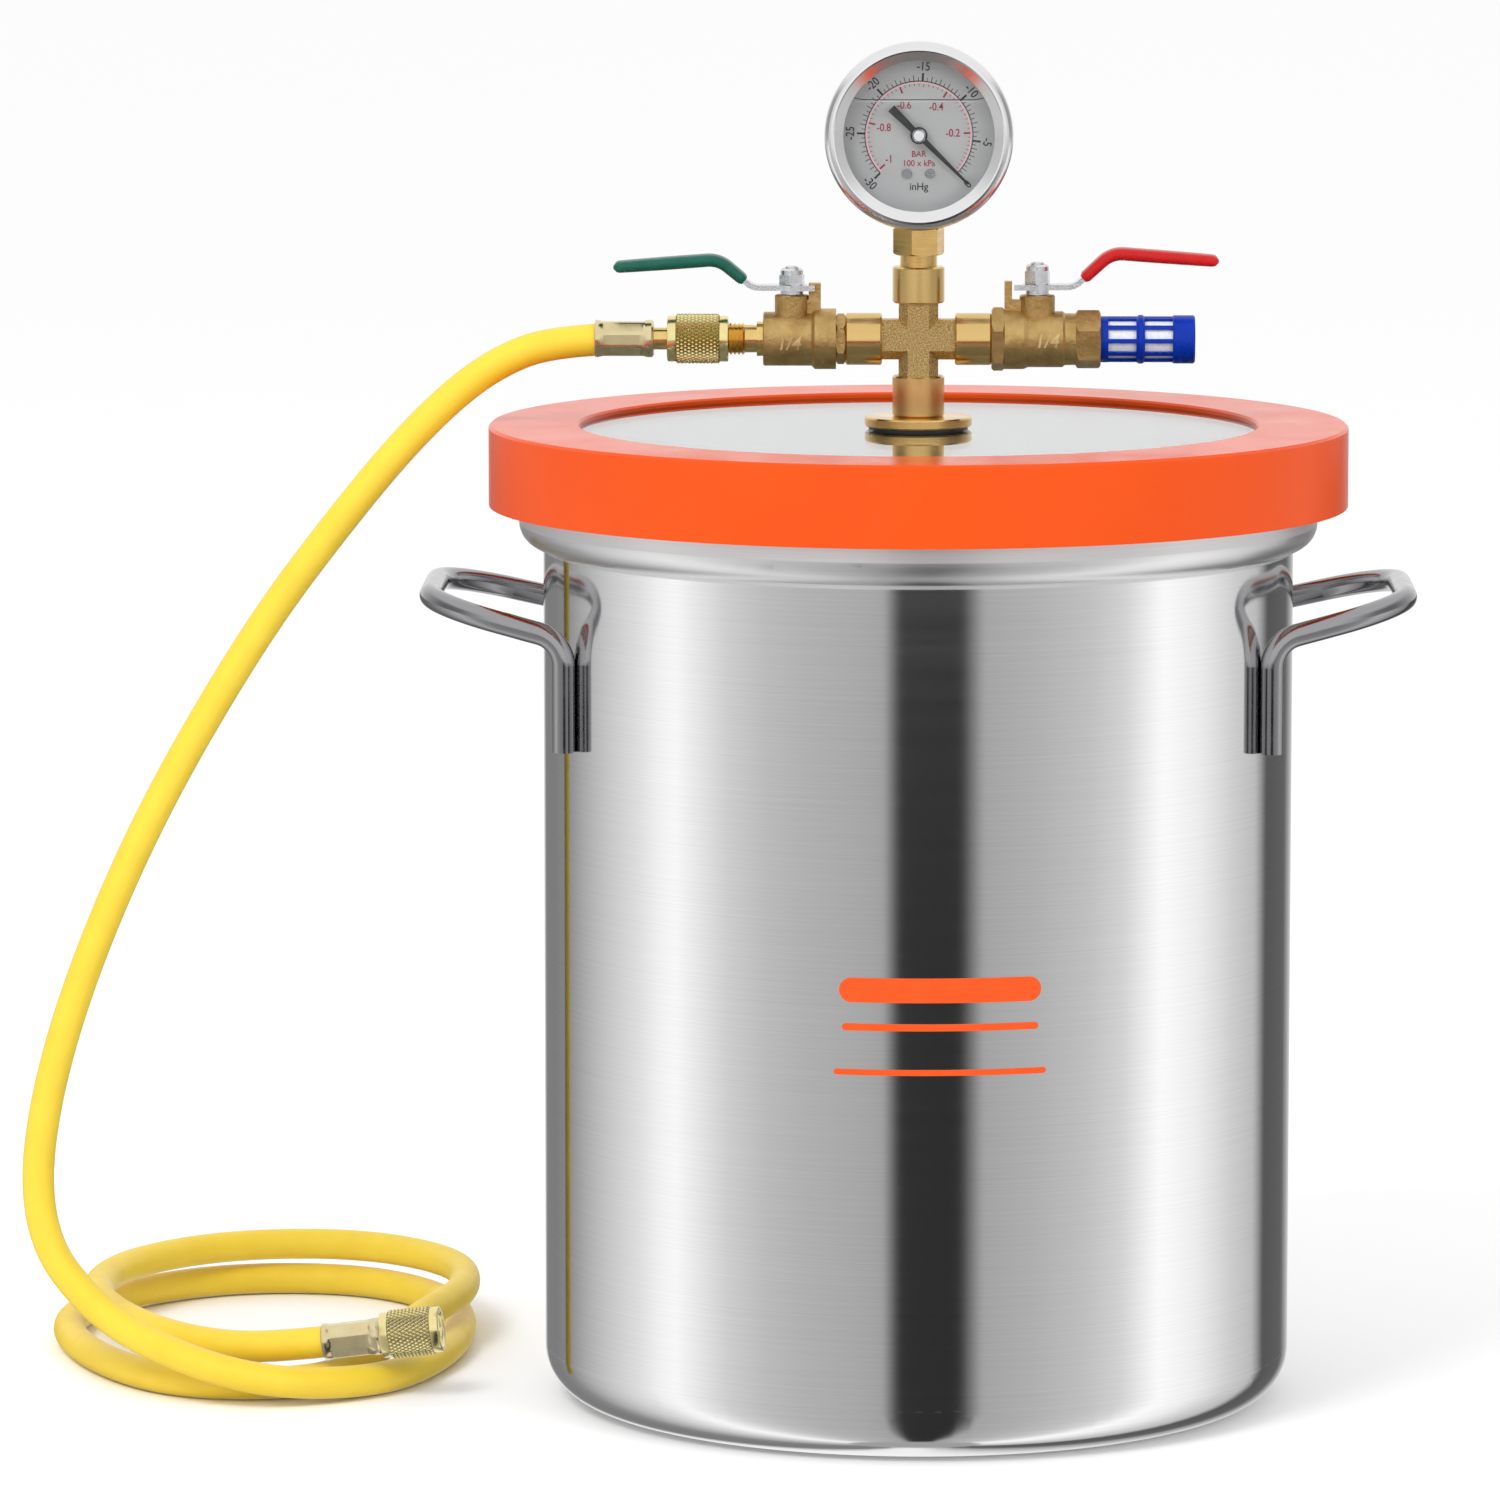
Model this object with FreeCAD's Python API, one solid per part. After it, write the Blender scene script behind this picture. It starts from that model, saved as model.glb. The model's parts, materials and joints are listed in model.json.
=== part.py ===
"""Vacuum degassing pot: a spun steel pot with a glass lid, a brass manifold with two
ball valves and a dial gauge, and a yellow hose that lies coiled beside it.

Frame: origin at the centre of the pot's base on the floor, +Z up, -Y towards the
gauge face, -X towards the hose.  Millimetres."""
import FreeCAD, Part
import math
import os

os.makedirs("parts", exist_ok=True)

V = FreeCAD.Vector
X, Y, Z = V(1, 0, 0), V(0, 1, 0), V(0, 0, 1)

# ---- driving dimensions ------------------------------------------------------------
POT_R = 140.0            # outside radius of the pot wall
SHEET = 1.2              # steel sheet thickness
BASE_CORNER_R = 19.0     # radius between base and wall
SEAM_Z = 20.0            # weld seam between base cup and wall
STEP_Z = 321.7           # where the wall steps out to the rim
STEP_R = 9.0             # radius of that step
RIM_Z = 351.3            # top edge of the rim

ROD_R = 4.25             # handle rod radius
HANDLE_AZIMUTH = math.radians(25.5)
HANDLE_LEG_Z = 251.0
HANDLE_KNEE_Z = 292.5
HANDLE_OUT_X = 181.0
HANDLE_OUT_Y = 51.0
HANDLE_OUT_Z = 305.0
HANDLE_KNEE_R = 12.0
HANDLE_CORNER_R = 35.0

GASKET_OUT_R = 160.3
GASKET_IN_R = 126.4
GASKET_TOP_Z = 367.0
GASKET_BOTTOM_Z = 337.0
GLASS_R = 151.9
GLASS_BOTTOM_Z = 354.0
GLASS_TOP_Z = 365.0
GLASS_HOLE_R = 7.6

SHANK_R = 6.85           # bulkhead thread radius
PIPE_BORE_R = 3.4        # bore through the bulkhead, valves and gauge socket
DISC_R = 20.0            # bulkhead flange
DISC_TOP_Z = 369.7
PIPE_Z = 398.5           # height of the two valves' common axis
COLLAR_R = 9.7           # machined ends of the cross
COLLAR_NEAR = 13.6       # from the cross centre to a collar's inner face
COLLAR_FAR = 27.2        # and to its outer face
ARM_WIDTH = 14.7         # rough cast arms, across flats
ARM_FLAT = 8.0           # width of the flat on each side of an arm
THREAD_R = 6.45          # quarter-inch pipe thread
THREAD_GAP = 0.05        # radial gap at every threaded fit
RUN_GAP = 0.3            # gap between parts that turn past each other

INLET_STEM_X = -47.2     # stem axes of the two valves
VENT_STEM_X = 44.2
BALL_R = 6.0
STEM_R = 2.5
CHAMBER_R = 6.85

GAUGE_Z = 475.0
BEZEL_R = 35.0
CASE_R = 31.5
WINDOW_R = 28.0
GAUGE_FRONT_Y = -19.0
SCREW_X = 4.3            # the two dial screws, each side of the centre
SCREW_Z = 460.8
GAUGE_BACK_Y = 12.0
PINION_R = 2.0
PINION_TEETH = 10
SECTOR_R = 12.0          # pitch radius, sixty teeth to the full circle
SECTOR_TEETH = 60

HOSE_R = 6.0
NUT_LENGTH = 22.8
NUT_KNURL_R = 9.3
NUT_BAND_R = 8.55
NUT_BORE_R = 6.4
NUT_BORE_DEPTH = 17.4
NUT_THREAD_LENGTH = 7.2  # threaded stretch at the nut's mouth, then a relief
NUT_RELIEF_R = 6.8
NECK_R = 4.1
FERRULE_LENGTH = 22.0
FERRULE_R = 6.95
TAIL_BARB_R = 2.4

# Centreline of the hose, chosen by hand: down from the inlet ferrule in a long
# bow, then twice round in a loose stacked coil and back out to the free end.
HOSE_ROUTE = [
    (-101, 0, 398.5), (-134, 0, 398.5), (-160, 0, 388.5), (-184.5, 0, 367.5), (-211, 0, 337),
    (-250, 0, 285.5), (-295.5, 0, 206), (-327, -1, 124), (-334.5, -2, 62),
    (-308, -13, 29), (-270, -38, 16), (-236, -38, 8.5), (-199, -15, 6),
    (-180.5, 34, 6), (-175, 90, 6), (-184, 146, 6), (-219, 188, 6), (-275, 190, 6),
    (-317, 151, 6), (-332.5, 97, 6), (-320, 42, 6), (-296, -3, 6), (-270, -23, 6),
    (-240, -23, 6), (-216, -9, 6.5), (-200, 15, 16), (-187, 49, 20), (-174, 94, 20),
    (-180, 150, 20), (-220, 190, 20), (-273, 187, 20), (-310, 149, 20),
    (-321, 98, 20), (-309, 46, 20), (-284, 8, 18), (-260, -7, 16.8),
    (-236.8, -13.6, 18.5), (-203.3, -17.1, 23.1),
]
FIRST_COIL_POINT = 7     # the run before this point hangs from the lid
FREE_AXIS = (V(*HOSE_ROUTE[-1]) - V(*HOSE_ROUTE[-2])).normalize()
FREE_END = V(*HOSE_ROUTE[-1]) - FREE_AXIS * 20.0      # where the hose enters its ferrule


# ---- building blocks ---------------------------------------------------------------
def turned(profile, origin=V(0, 0, 0), axis=Z):
    """Solid of revolution from (radius, height) points, along any axis.  A point
    given as (middle radius, middle height, end radius, end height) is an arc's."""
    edges = []
    at = V(profile[0][0], 0, profile[0][1])
    for point in list(profile[1:]) + [profile[0]]:
        end = V(point[-2], 0, point[-1])
        if len(point) == 4:
            edges.append(Part.Arc(at, V(point[0], 0, point[1]), end).toShape())
        else:
            edges.append(Part.makeLine(at, end))
        at = end
    solid = Part.Face(Part.Wire(edges)).revolve(V(0, 0, 0), Z, 360)
    solid = Part.Solid(solid) if solid.ShapeType != "Solid" else solid
    solid.Placement = FreeCAD.Placement(origin, FreeCAD.Rotation(Z, axis))
    return solid


def rod(radius, start, length, axis=Z):
    return Part.makeCylinder(radius, length, start, axis)


def ring(outer, inner, start, length, axis=Z):
    hole = rod(inner, start - axis * 1.0, length + 2.0, axis)
    return rod(outer, start, length, axis).cut(hole)


def hexagon(across_flats, start, length, axis=Z, spin=0.0, chamfer=0.0):
    """Hexagonal prism; a chamfer rounds off both ends' corners."""
    corner = across_flats / math.sqrt(3)
    angles = [math.radians(60 * k + spin) for k in range(7)]
    wire = Part.makePolygon([V(corner * math.cos(a), corner * math.sin(a), 0) for a in angles])
    prism = Part.Face(wire).extrude(V(0, 0, length))
    if chamfer:
        flat = across_flats / 2
        drop = (corner - flat) * 0.6
        guard = [(0, 0), (flat + 0.2, 0), (corner + 0.2, drop), (corner + 0.2, length - drop),
                 (flat + 0.2, length), (0, length)]
        prism = prism.common(turned(guard))
    prism.Placement = FreeCAD.Placement(start, FreeCAD.Rotation(Z, axis))
    return prism


def box(low, high):
    return Part.makeBox(high[0] - low[0], high[1] - low[1], high[2] - low[2], V(*low))


def corner_tangents(a, b, c, radius):
    """Tangent points, centre and middle of an arc that rounds corner b."""
    u = (b - a).normalize()
    w = (c - b).normalize()
    half = u.getAngle(w) / 2
    reach = radius * math.tan(half)
    inward = (w - u).normalize()
    centre = b + inward * (radius / math.cos(half))
    return b - u * reach, b + w * reach, centre, centre - inward * radius


def rounded_path(points, radii):
    """Wire of straight runs joined by tangent arcs."""
    edges = []
    at = points[0]
    for a, b, c, radius in zip(points, points[1:], points[2:], radii):
        start, end, _, middle = corner_tangents(a, b, c, radius)
        edges.append(Part.makeLine(at, start))
        edges.append(Part.Arc(start, middle, end).toShape())
        at = end
    edges.append(Part.makeLine(at, points[-1]))
    return Part.Wire(edges)


def swept(path, radius):
    start = path.Edges[0].valueAt(path.Edges[0].FirstParameter)
    along = path.Edges[0].tangentAt(path.Edges[0].FirstParameter)
    disc = Part.Face(Part.Wire(Part.makeCircle(radius, start, along)))
    solid = path.makePipe(disc)
    return Part.Solid(solid.Shells[0]) if solid.ShapeType != "Solid" else solid


def strip(points, radii, thickness, width, y=0.0):
    """Flat bar bent in the XZ plane: two offset outlines joined at the ends."""
    half = thickness / 2
    sides = [[], []]
    for side, sign in ((0, 1.0), (1, -1.0)):
        at = None
        for k, (a, b, c) in enumerate(zip(points, points[1:], points[2:])):
            start, end, centre, middle = corner_tangents(a, b, c, radii[k])
            u = (b - a).normalize()
            w = (c - b).normalize()
            left_u = V(-u.z, 0, u.x) * (half * sign)
            left_w = V(-w.z, 0, w.x) * (half * sign)
            first = start + left_u
            bulge = centre + (middle - centre).normalize() * (start + left_u - centre).Length
            last = end + left_w
            at = points[0] + left_u if at is None else at
            sides[side].append(Part.makeLine(at, first))
            sides[side].append(Part.Arc(first, bulge, last).toShape())
            at = last
        sides[side].append(Part.makeLine(at, points[-1] + left_w))
    first = [s[0].Vertexes[0].Point for s in sides]
    last = [s[-1].Vertexes[-1].Point for s in sides]
    caps = [Part.makeLine(first[1], first[0]), Part.makeLine(last[0], last[1])]
    outline = Part.Wire(Part.__sortEdges__(sides[0] + sides[1] + caps))
    bar = Part.Face(outline).extrude(V(0, width, 0))
    bar.translate(V(0, y - width / 2, 0))
    return bar


# ---- pot -----------------------------------------------------------------------------
def arc(centre_r, centre_z, radius, start, end):
    """Start point and arc of a turned profile, angles in degrees from +R to +Z."""
    a, b, c = [math.radians(angle) for angle in (start, (start + end) / 2, end)]
    spot = [(centre_r + radius * math.cos(t), centre_z + radius * math.sin(t)) for t in (a, b, c)]
    return [spot[0], spot[1] + spot[2]]


def pot_wall():
    inner = POT_R - SHEET
    profile = [(POT_R, SEAM_Z)]
    profile += arc(POT_R, STEP_Z + STEP_R, STEP_R, -90, 0)
    profile += [(POT_R + STEP_R, RIM_Z), (POT_R + STEP_R - SHEET, RIM_Z)]
    profile += arc(POT_R, STEP_Z + STEP_R, STEP_R - SHEET, 0, -90)
    profile += [(inner, STEP_Z + SHEET), (inner, SEAM_Z)]
    return turned(profile)


def pot_base():
    centre_r = POT_R - BASE_CORNER_R
    profile = [(0, 0)]
    profile += arc(centre_r, BASE_CORNER_R, BASE_CORNER_R, -90, 0)
    profile += [(POT_R, SEAM_Z), (POT_R - SHEET, SEAM_Z)]
    profile += arc(centre_r, BASE_CORNER_R, BASE_CORNER_R - SHEET, 0, -90)
    profile += [(0, SHEET)]
    return turned(profile)


def handle(side):
    leg_r = POT_R + ROD_R + 0.02
    leg_x = side * leg_r * math.cos(HANDLE_AZIMUTH)
    leg_y = leg_r * math.sin(HANDLE_AZIMUTH)
    out_x = side * HANDLE_OUT_X
    points = [
        V(leg_x, -leg_y, HANDLE_LEG_Z), V(leg_x, -leg_y, HANDLE_KNEE_Z),
        V(out_x, -HANDLE_OUT_Y, HANDLE_OUT_Z), V(out_x, HANDLE_OUT_Y, HANDLE_OUT_Z),
        V(leg_x, leg_y, HANDLE_KNEE_Z), V(leg_x, leg_y, HANDLE_LEG_Z),
    ]
    radii = [HANDLE_KNEE_R, HANDLE_CORNER_R, HANDLE_CORNER_R, HANDLE_KNEE_R]
    return swept(rounded_path(points, radii), ROD_R)


# ---- lid ---------------------------------------------------------------------------
def lid_gasket():
    lip_top = GLASS_BOTTOM_Z
    lip_bottom = RIM_Z + 0.05
    return turned([
        (GASKET_OUT_R, GASKET_BOTTOM_Z), (GASKET_OUT_R, GASKET_TOP_Z - 1.0),
        (GASKET_OUT_R - 1.0, GASKET_TOP_Z), (GASKET_IN_R + 0.8, GASKET_TOP_Z),
        (GASKET_IN_R, GASKET_TOP_Z - 0.8), (GASKET_IN_R, GLASS_TOP_Z),
        (GLASS_R, GLASS_TOP_Z), (GLASS_R, lip_top), (POT_R - 3.0, lip_top),
        (POT_R - 3.0, lip_bottom), (POT_R + STEP_R + 1.0, lip_bottom),
        (POT_R + STEP_R + 1.0, GASKET_BOTTOM_Z),
    ])


def lid_glass():
    return ring(GLASS_R, GLASS_HOLE_R, V(0, 0, GLASS_BOTTOM_Z), GLASS_TOP_Z - GLASS_BOTTOM_Z)


def bulkhead_fitting():
    profile = [
        (PIPE_BORE_R, 341.0), (SHANK_R - 0.6, 341.0), (SHANK_R, 341.8), (SHANK_R, 366.0),
        (DISC_R - 0.6, 366.0), (DISC_R, 366.6), (DISC_R, DISC_TOP_Z - 0.6),
        (DISC_R - 0.6, DISC_TOP_Z), (THREAD_R, DISC_TOP_Z), (THREAD_R, DISC_TOP_Z + 8.5),
        (PIPE_BORE_R, DISC_TOP_Z + 8.5),
    ]
    return turned(profile)


def bulkhead_lock_nut():
    blank = hexagon(22.0, V(0, 0, 343.0), 7.5, chamfer=0.6)
    return blank.cut(rod(SHANK_R + THREAD_GAP, V(0, 0, 340), 14))


def chamfered_bar(start, length, axis):
    """Square bar with wide chamfers on its four long edges."""
    half = ARM_WIDTH / 2
    flat = ARM_FLAT / 2
    corners = [(half, -flat), (half, flat), (flat, half), (-flat, half),
               (-half, flat), (-half, -flat), (-flat, -half), (flat, -half)]
    wire = Part.makePolygon([V(x, y, 0) for x, y in corners + corners[:1]])
    bar = Part.Face(wire).extrude(V(0, 0, length))
    bar.Placement = FreeCAD.Placement(start, FreeCAD.Rotation(Z, axis))
    return bar


def cross_fitting():
    centre = V(0, 0, PIPE_Z)
    body = chamfered_bar(centre, 1.0, X)
    cuts = []
    for axis in (X, -X, Z, -Z):
        reach = COLLAR_FAR if axis != -Z else PIPE_Z - DISC_TOP_Z
        body = body.fuse(chamfered_bar(centre, reach - 1.0, axis))
        collar = turned([
            (0, COLLAR_NEAR), (COLLAR_R - 0.6, COLLAR_NEAR), (COLLAR_R, COLLAR_NEAR + 0.6),
            (COLLAR_R, reach - 0.6), (COLLAR_R - 0.6, reach), (0, reach),
        ], centre, axis)
        body = body.fuse(collar)
        cuts.append(rod(PIPE_BORE_R + 1.4, centre, reach + 1.0, axis))
        cuts.append(rod(THREAD_R + THREAD_GAP, centre + axis * (reach - 9.0), 10.0, axis))
    return body.cut(cuts).removeSplitter()


# ---- ball valves ---------------------------------------------------------------------
class Valve:
    """One quarter-turn ball valve.  Local x runs outward from the stem axis."""

    def __init__(self, name, stem_x, boss_r, plate_z, nut_top, lever_line, tab):
        self.name = name
        self.out = 1.0 if stem_x > 0 else -1.0
        self.stem = V(stem_x, 0, PIPE_Z)
        self.axis = X * self.out
        self.boss_r = boss_r
        self.plate_z = plate_z
        self.nut_top = nut_top
        self.lever_line = lever_line
        self.tab = tab

    def at(self, x, z=0.0):
        return self.stem + self.axis * x + Z * z

    def along(self, profile):
        """Turned part from (radius, local x) points."""
        return turned(profile, self.stem, self.axis)

    def local_box(self, low, high):
        xs = sorted((self.stem.x + self.out * low[0], self.stem.x + self.out * high[0]))
        return box((xs[0], low[1], PIPE_Z + low[2]), (xs[1], high[1], PIPE_Z + high[2]))

    def finish_body(self, body, inner_face, outlet):
        """Adds boss and stop tab to a turned body, then cuts its bores."""
        boss = turned([(0, 0), (self.boss_r, 0), (self.boss_r, 16.1), (self.boss_r - 0.4, 16.5),
                       (0, 16.5)], self.stem, Z)
        tab_low, tab_high, tab_top = self.tab
        tab = self.local_box((tab_low, -2.6, 4.0), (tab_high, 2.6, tab_top))
        web = self.local_box((tab_low, -2.6, 4.0), (0, 2.6, 14.8))
        body = body.fuse([boss, tab, web])
        cuts = [
            self.along([(0, inner_face - 1), (8.0 + THREAD_GAP, inner_face - 1),
                        (8.0 + THREAD_GAP, -9.0), (0, -9.0)]),
            rod(CHAMBER_R, self.at(-9.5), 16.15, self.axis),
            rod(PIPE_BORE_R, self.at(6.0), 20.0, self.axis),
            rod(outlet[0] + THREAD_GAP, self.at(outlet[1]), 20.0, self.axis),
            rod(STEM_R + THREAD_GAP, self.at(0, 0), 20.0, Z),
            rod(3.9, self.at(0, 0), 8.9, Z),
            rod(4.45, self.at(0, 12.5), 5.0, Z),
        ]
        return body.cut(cuts).removeSplitter()

    def ball(self):
        ball = Part.makeSphere(BALL_R, self.stem)
        ball = ball.cut(rod(3.2, self.at(-10), 20, self.axis))
        return ball.cut(self.local_box((-0.95, -9, 4.5), (0.95, 9, 9)))

    def ball_seats(self):
        hollow = Part.makeSphere(BALL_R + 0.1, self.stem)
        seats = []
        for x in (-6.6, 4.0):
            seats.append(ring(CHAMBER_R - THREAD_GAP, 3.2, self.at(x), 2.6, self.axis).cut(hollow))
        return Part.makeCompound(seats)

    def stem_part(self):
        tongue = self.local_box((-0.8, -3.0, 4.6), (0.8, 3.0, 7.4))
        post = turned([
            (0, 7.0), (3.6, 7.0), (3.6, 8.6), (STEM_R, 8.6), (STEM_R, 16.75), (4.3, 16.75),
            (4.3, self.plate_z), (STEM_R, self.plate_z), (STEM_R, self.nut_top + 0.4),
            (STEM_R - 0.4, self.nut_top + 0.8), (0, self.nut_top + 0.8),
        ], self.stem, Z)
        keep = self.local_box((-5, -5, 0), (5, 5, 40))
        return post.fuse(tongue).common(keep).removeSplitter()

    def stem_packing(self):
        return ring(4.4, STEM_R + THREAD_GAP, self.at(0, 12.5), 3.9, Z)

    def lever_points(self):
        return [self.at(x, z) for x, z in self.lever_line]

    def lever(self):
        """Bent steel bar with a round eye and a stop ear in front of the tab."""
        bar = strip(self.lever_points(), LEVER_BENDS, 2.0, 9.0)
        eye_at = self.at(0, self.plate_z)
        eye = rod(5.7, eye_at, 2.0)
        ear = self.local_box((-8.6, -6.4, self.plate_z), (0.5, -3.1, self.plate_z + 2.0))
        lever = bar.fuse([eye, ear])
        return lever.cut(rod(STEM_R + THREAD_GAP, eye_at - Z, 4.0)).removeSplitter()

    def lever_sleeve(self, lever, tip):
        """Dipped plastic grip over the bar's outer part."""
        points = self.lever_points()
        first, second = points[1], points[2]
        start = first + (second - first) * 0.30
        end = points[-1] + (points[-1] - points[-2]).normalize() * tip
        grip = strip([start, second, end], LEVER_BENDS[1:], 4.6, 11.0)
        upright = [e for e in grip.Edges if abs(e.tangentAt(e.FirstParameter).y) < 0.1]
        try:
            grip = grip.makeFillet(1.3, upright)
        except Exception:
            print("plain corners on", self.name, "lever sleeve")
        return grip.cut(lever)

    def lever_nut(self):
        """Self-locking nut: a hexagon under a round collar."""
        low = self.plate_z + 2.0
        high = self.nut_top
        nut = hexagon(8.6, self.at(0, low), high - low - 2.4, Z, 20, 0.4)
        dome = turned([(0, high - 2.4), (4.25, high - 2.4), (4.25, high - 0.8), (3.5, high),
                       (0, high)], self.stem, Z)
        return nut.fuse(dome).cut(rod(STEM_R + THREAD_GAP, self.at(0, low - 1), 12.0))

    def end_piece(self, flange):
        """Male end that screws into the cross and holds the inner seat."""
        collar_x = COLLAR_FAR - abs(self.stem.x)
        spigot_end = -9.05
        tail = self.along([
            (PIPE_BORE_R, collar_x - 8.7), (THREAD_R, collar_x - 8.7), (THREAD_R, collar_x),
            (8.0, collar_x), (8.0, spigot_end), (CHAMBER_R - THREAD_GAP, spigot_end),
            (CHAMBER_R - THREAD_GAP, -6.65), (PIPE_BORE_R, -6.65),
        ])
        nut_size, nut_end, spin = flange
        nut = hexagon(nut_size, self.at(collar_x), nut_end - collar_x, self.axis, spin, 0.4)
        nut = nut.cut(rod(7.0, self.at(collar_x - 1), 20, self.axis))
        return tail.fuse(nut).removeSplitter()


LEVER_BENDS = [7.0, 11.0]
inlet = Valve("inlet", INLET_STEM_X, 6.35, 18.2, 26.4,
              [(3.0, 19.2), (14.6, 19.2), (27.2, 29.6), (63.0, 26.9)],
              (-10.8, -6.3, 20.8))
vent = Valve("vent", VENT_STEM_X, 6.6, 18.6, 28.0,
             [(3.0, 19.6), (13.8, 19.6), (27.6, 32.2), (64.0, 29.5)],
             (-12.2, -9.4, 21.6))


def inlet_valve_body():
    face = -16.5
    outer = inlet.along([
        (0, face), (11.3, face), (11.3, -8.6), (10.05, -7.4), (10.05, 10.2), (9.65, 10.6), (0, 10.6),
    ])
    return inlet.finish_body(outer, face, (5.2, 7.0))


def vent_valve_body():
    face = -12.2
    outer = vent.along([
        (0, face), (11.2, face), (11.2, -5.0), (10.45, -3.4), (10.45, 9.4), (9.65, 10.4),
        (9.65, 15.0), (0, 15.0),
    ])
    nut = hexagon(19.4, vent.at(14.4), 9.2, X, 10, 0.5)
    return vent.finish_body(outer.fuse(nut), face, (THREAD_R, 12.5))


def flare_adapter():
    """Short male adapter: pipe thread, shoulder, then a flare thread cut as rings."""
    profile = [(1.9, 7.1), (5.2, 7.1), (5.2, 10.6), (6.45, 10.6), (6.45, 13.0), (5.1, 13.0)]
    pitch = 1.5
    thread_start = 17.4
    rings = 10
    for k in range(rings):
        low = thread_start + k * pitch
        profile += [(5.15, low), (6.1, low + pitch * 0.5)]
    thread_end = thread_start + rings * pitch
    profile += [(5.15, thread_end), (4.4, thread_end), (4.4, 34.6), (3.6, 35.2), (1.9, 35.2)]
    return inlet.along(profile)


# ---- hose ends -------------------------------------------------------------------------
class HoseEnd:
    """Ferrule, hose tail, swivel nut and seal along one axis.  Distances run from
    the point where the hose enters the ferrule towards the nut's open end."""

    def __init__(self, start, axis, nut_back):
        self.start = start
        self.axis = axis
        self.nut_back = nut_back

    def along(self, profile):
        return turned(profile, self.start, self.axis)

    def ferrule(self):
        waist = FERRULE_R - 0.4
        wall = FERRULE_LENGTH
        return self.along([
            (HOSE_R, 0), (FERRULE_R, 0), (waist, 2.2), (waist, wall - 2.2), (FERRULE_R, wall - 0.8),
            (FERRULE_R - 0.8, wall), (NECK_R, wall), (NECK_R, wall - 1.4), (HOSE_R, wall - 1.4),
        ])

    def hose_tail(self):
        barb = [(1.6, 2.0), (TAIL_BARB_R - 0.3, 2.0)]
        barb += [(TAIL_BARB_R, 3.0), (TAIL_BARB_R, FERRULE_LENGTH - 1.4)]
        return self.along(barb + [
            (NECK_R, FERRULE_LENGTH - 1.4), (NECK_R, 32.4), (5.8, 32.4), (5.8, 34.6), (4.4, 35.4),
            (1.6, 35.4),
        ])

    def nut(self):
        back = self.nut_back
        mouth = back + NUT_LENGTH
        return self.along([
            (NECK_R + RUN_GAP, back), (NUT_BAND_R - 0.6, back), (NUT_BAND_R, back + 0.6),
            (NUT_BAND_R, back + 3.0), (NUT_KNURL_R, back + 3.6), (NUT_KNURL_R, mouth - 3.6),
            (NUT_BAND_R, mouth - 3.0), (NUT_BAND_R, mouth - 0.5), (NUT_BAND_R - 0.5, mouth),
            (NUT_BORE_R, mouth), (NUT_BORE_R, mouth - NUT_THREAD_LENGTH),
            (NUT_RELIEF_R, mouth - NUT_THREAD_LENGTH), (NUT_RELIEF_R, mouth - NUT_BORE_DEPTH),
            (NECK_R + RUN_GAP, mouth - NUT_BORE_DEPTH),
        ])

    def seal(self):
        return ring(5.6, 2.6, self.start + self.axis * 35.45, 2.3, self.axis)


inlet_end = HoseEnd(inlet.at(73.4), X, 27.0)
free_end = HoseEnd(FREE_END, FREE_AXIS, 22.4)


# ---- hose ------------------------------------------------------------------------------
def hose_tube(points):
    """Tube whose corners are as round as their shorter run allows."""
    corners = list(zip(points, points[1:], points[2:]))
    radii = []
    for a, b, c in corners:
        turn = (b - a).getAngle(c - b)
        radii.append(0.45 * min((b - a).Length, (c - b).Length) / math.tan(turn / 2))
    path = rounded_path(points, radii)
    tube = swept(path, HOSE_R)
    print("hose radii", min(round(r) for r in radii), "mm and up, length", round(path.Length, 1),
          "volume ratio", round(tube.Volume / (math.pi * HOSE_R ** 2 * path.Length), 4))
    return tube


def hose_parts():
    route = [V(*p) for p in HOSE_ROUTE]
    joint = (route[FIRST_COIL_POINT - 1] + route[FIRST_COIL_POINT]) * 0.5
    run = hose_tube(route[:FIRST_COIL_POINT] + [joint])
    coil = hose_tube([joint] + route[FIRST_COIL_POINT:])
    run = run.cut(rod(TAIL_BARB_R, inlet_end.start - X * 1.0, 30, X))
    coil = coil.cut(rod(TAIL_BARB_R, FREE_END + FREE_AXIS * 1.9, 30, FREE_AXIS))
    return run, coil


# ---- vent silencer ---------------------------------------------------------------------
def silencer_shell():
    start = 23.6
    end = 58.7
    shell = vent.along([
        (4.0, 13.0), (THREAD_R, 13.0), (THREAD_R, start), (8.6, start), (8.6, start + 13.6),
        (9.1, start + 14.2), (9.1, start + 15.6), (8.6, start + 16.2), (8.6, start + 26.8),
        (9.0, start + 27.2), (9.0, end - 0.6), (8.5, end), (0, end), (0, end - 1.6),
        (7.4, end - 1.6), (7.4, start + 1.6), (4.0, start + 1.6),
    ])
    windows = []
    for low in (start + 2.8, start + 16.4):
        for k in range(10):
            slot = Part.makeBox(10.4, 3.7, 6.0, V(low, -1.85, 5.0))
            slot.rotate(V(0, 0, 0), X, 36 * k)
            slot.translate(vent.stem)
            windows.append(slot)
    return shell.cut(windows)


def silencer_filter():
    return ring(7.3, 4.2, vent.at(25.3), 31.7, X)


# ---- gauge -----------------------------------------------------------------------------
GAUGE_AXIS = -Y
GAUGE_CENTRE = V(0, 0, GAUGE_Z)


def facing(profile):
    """Turned part on the gauge's axis from (radius, y) points."""
    return turned([(r, -y) for r, y in profile], GAUGE_CENTRE, GAUGE_AXIS)


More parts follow.
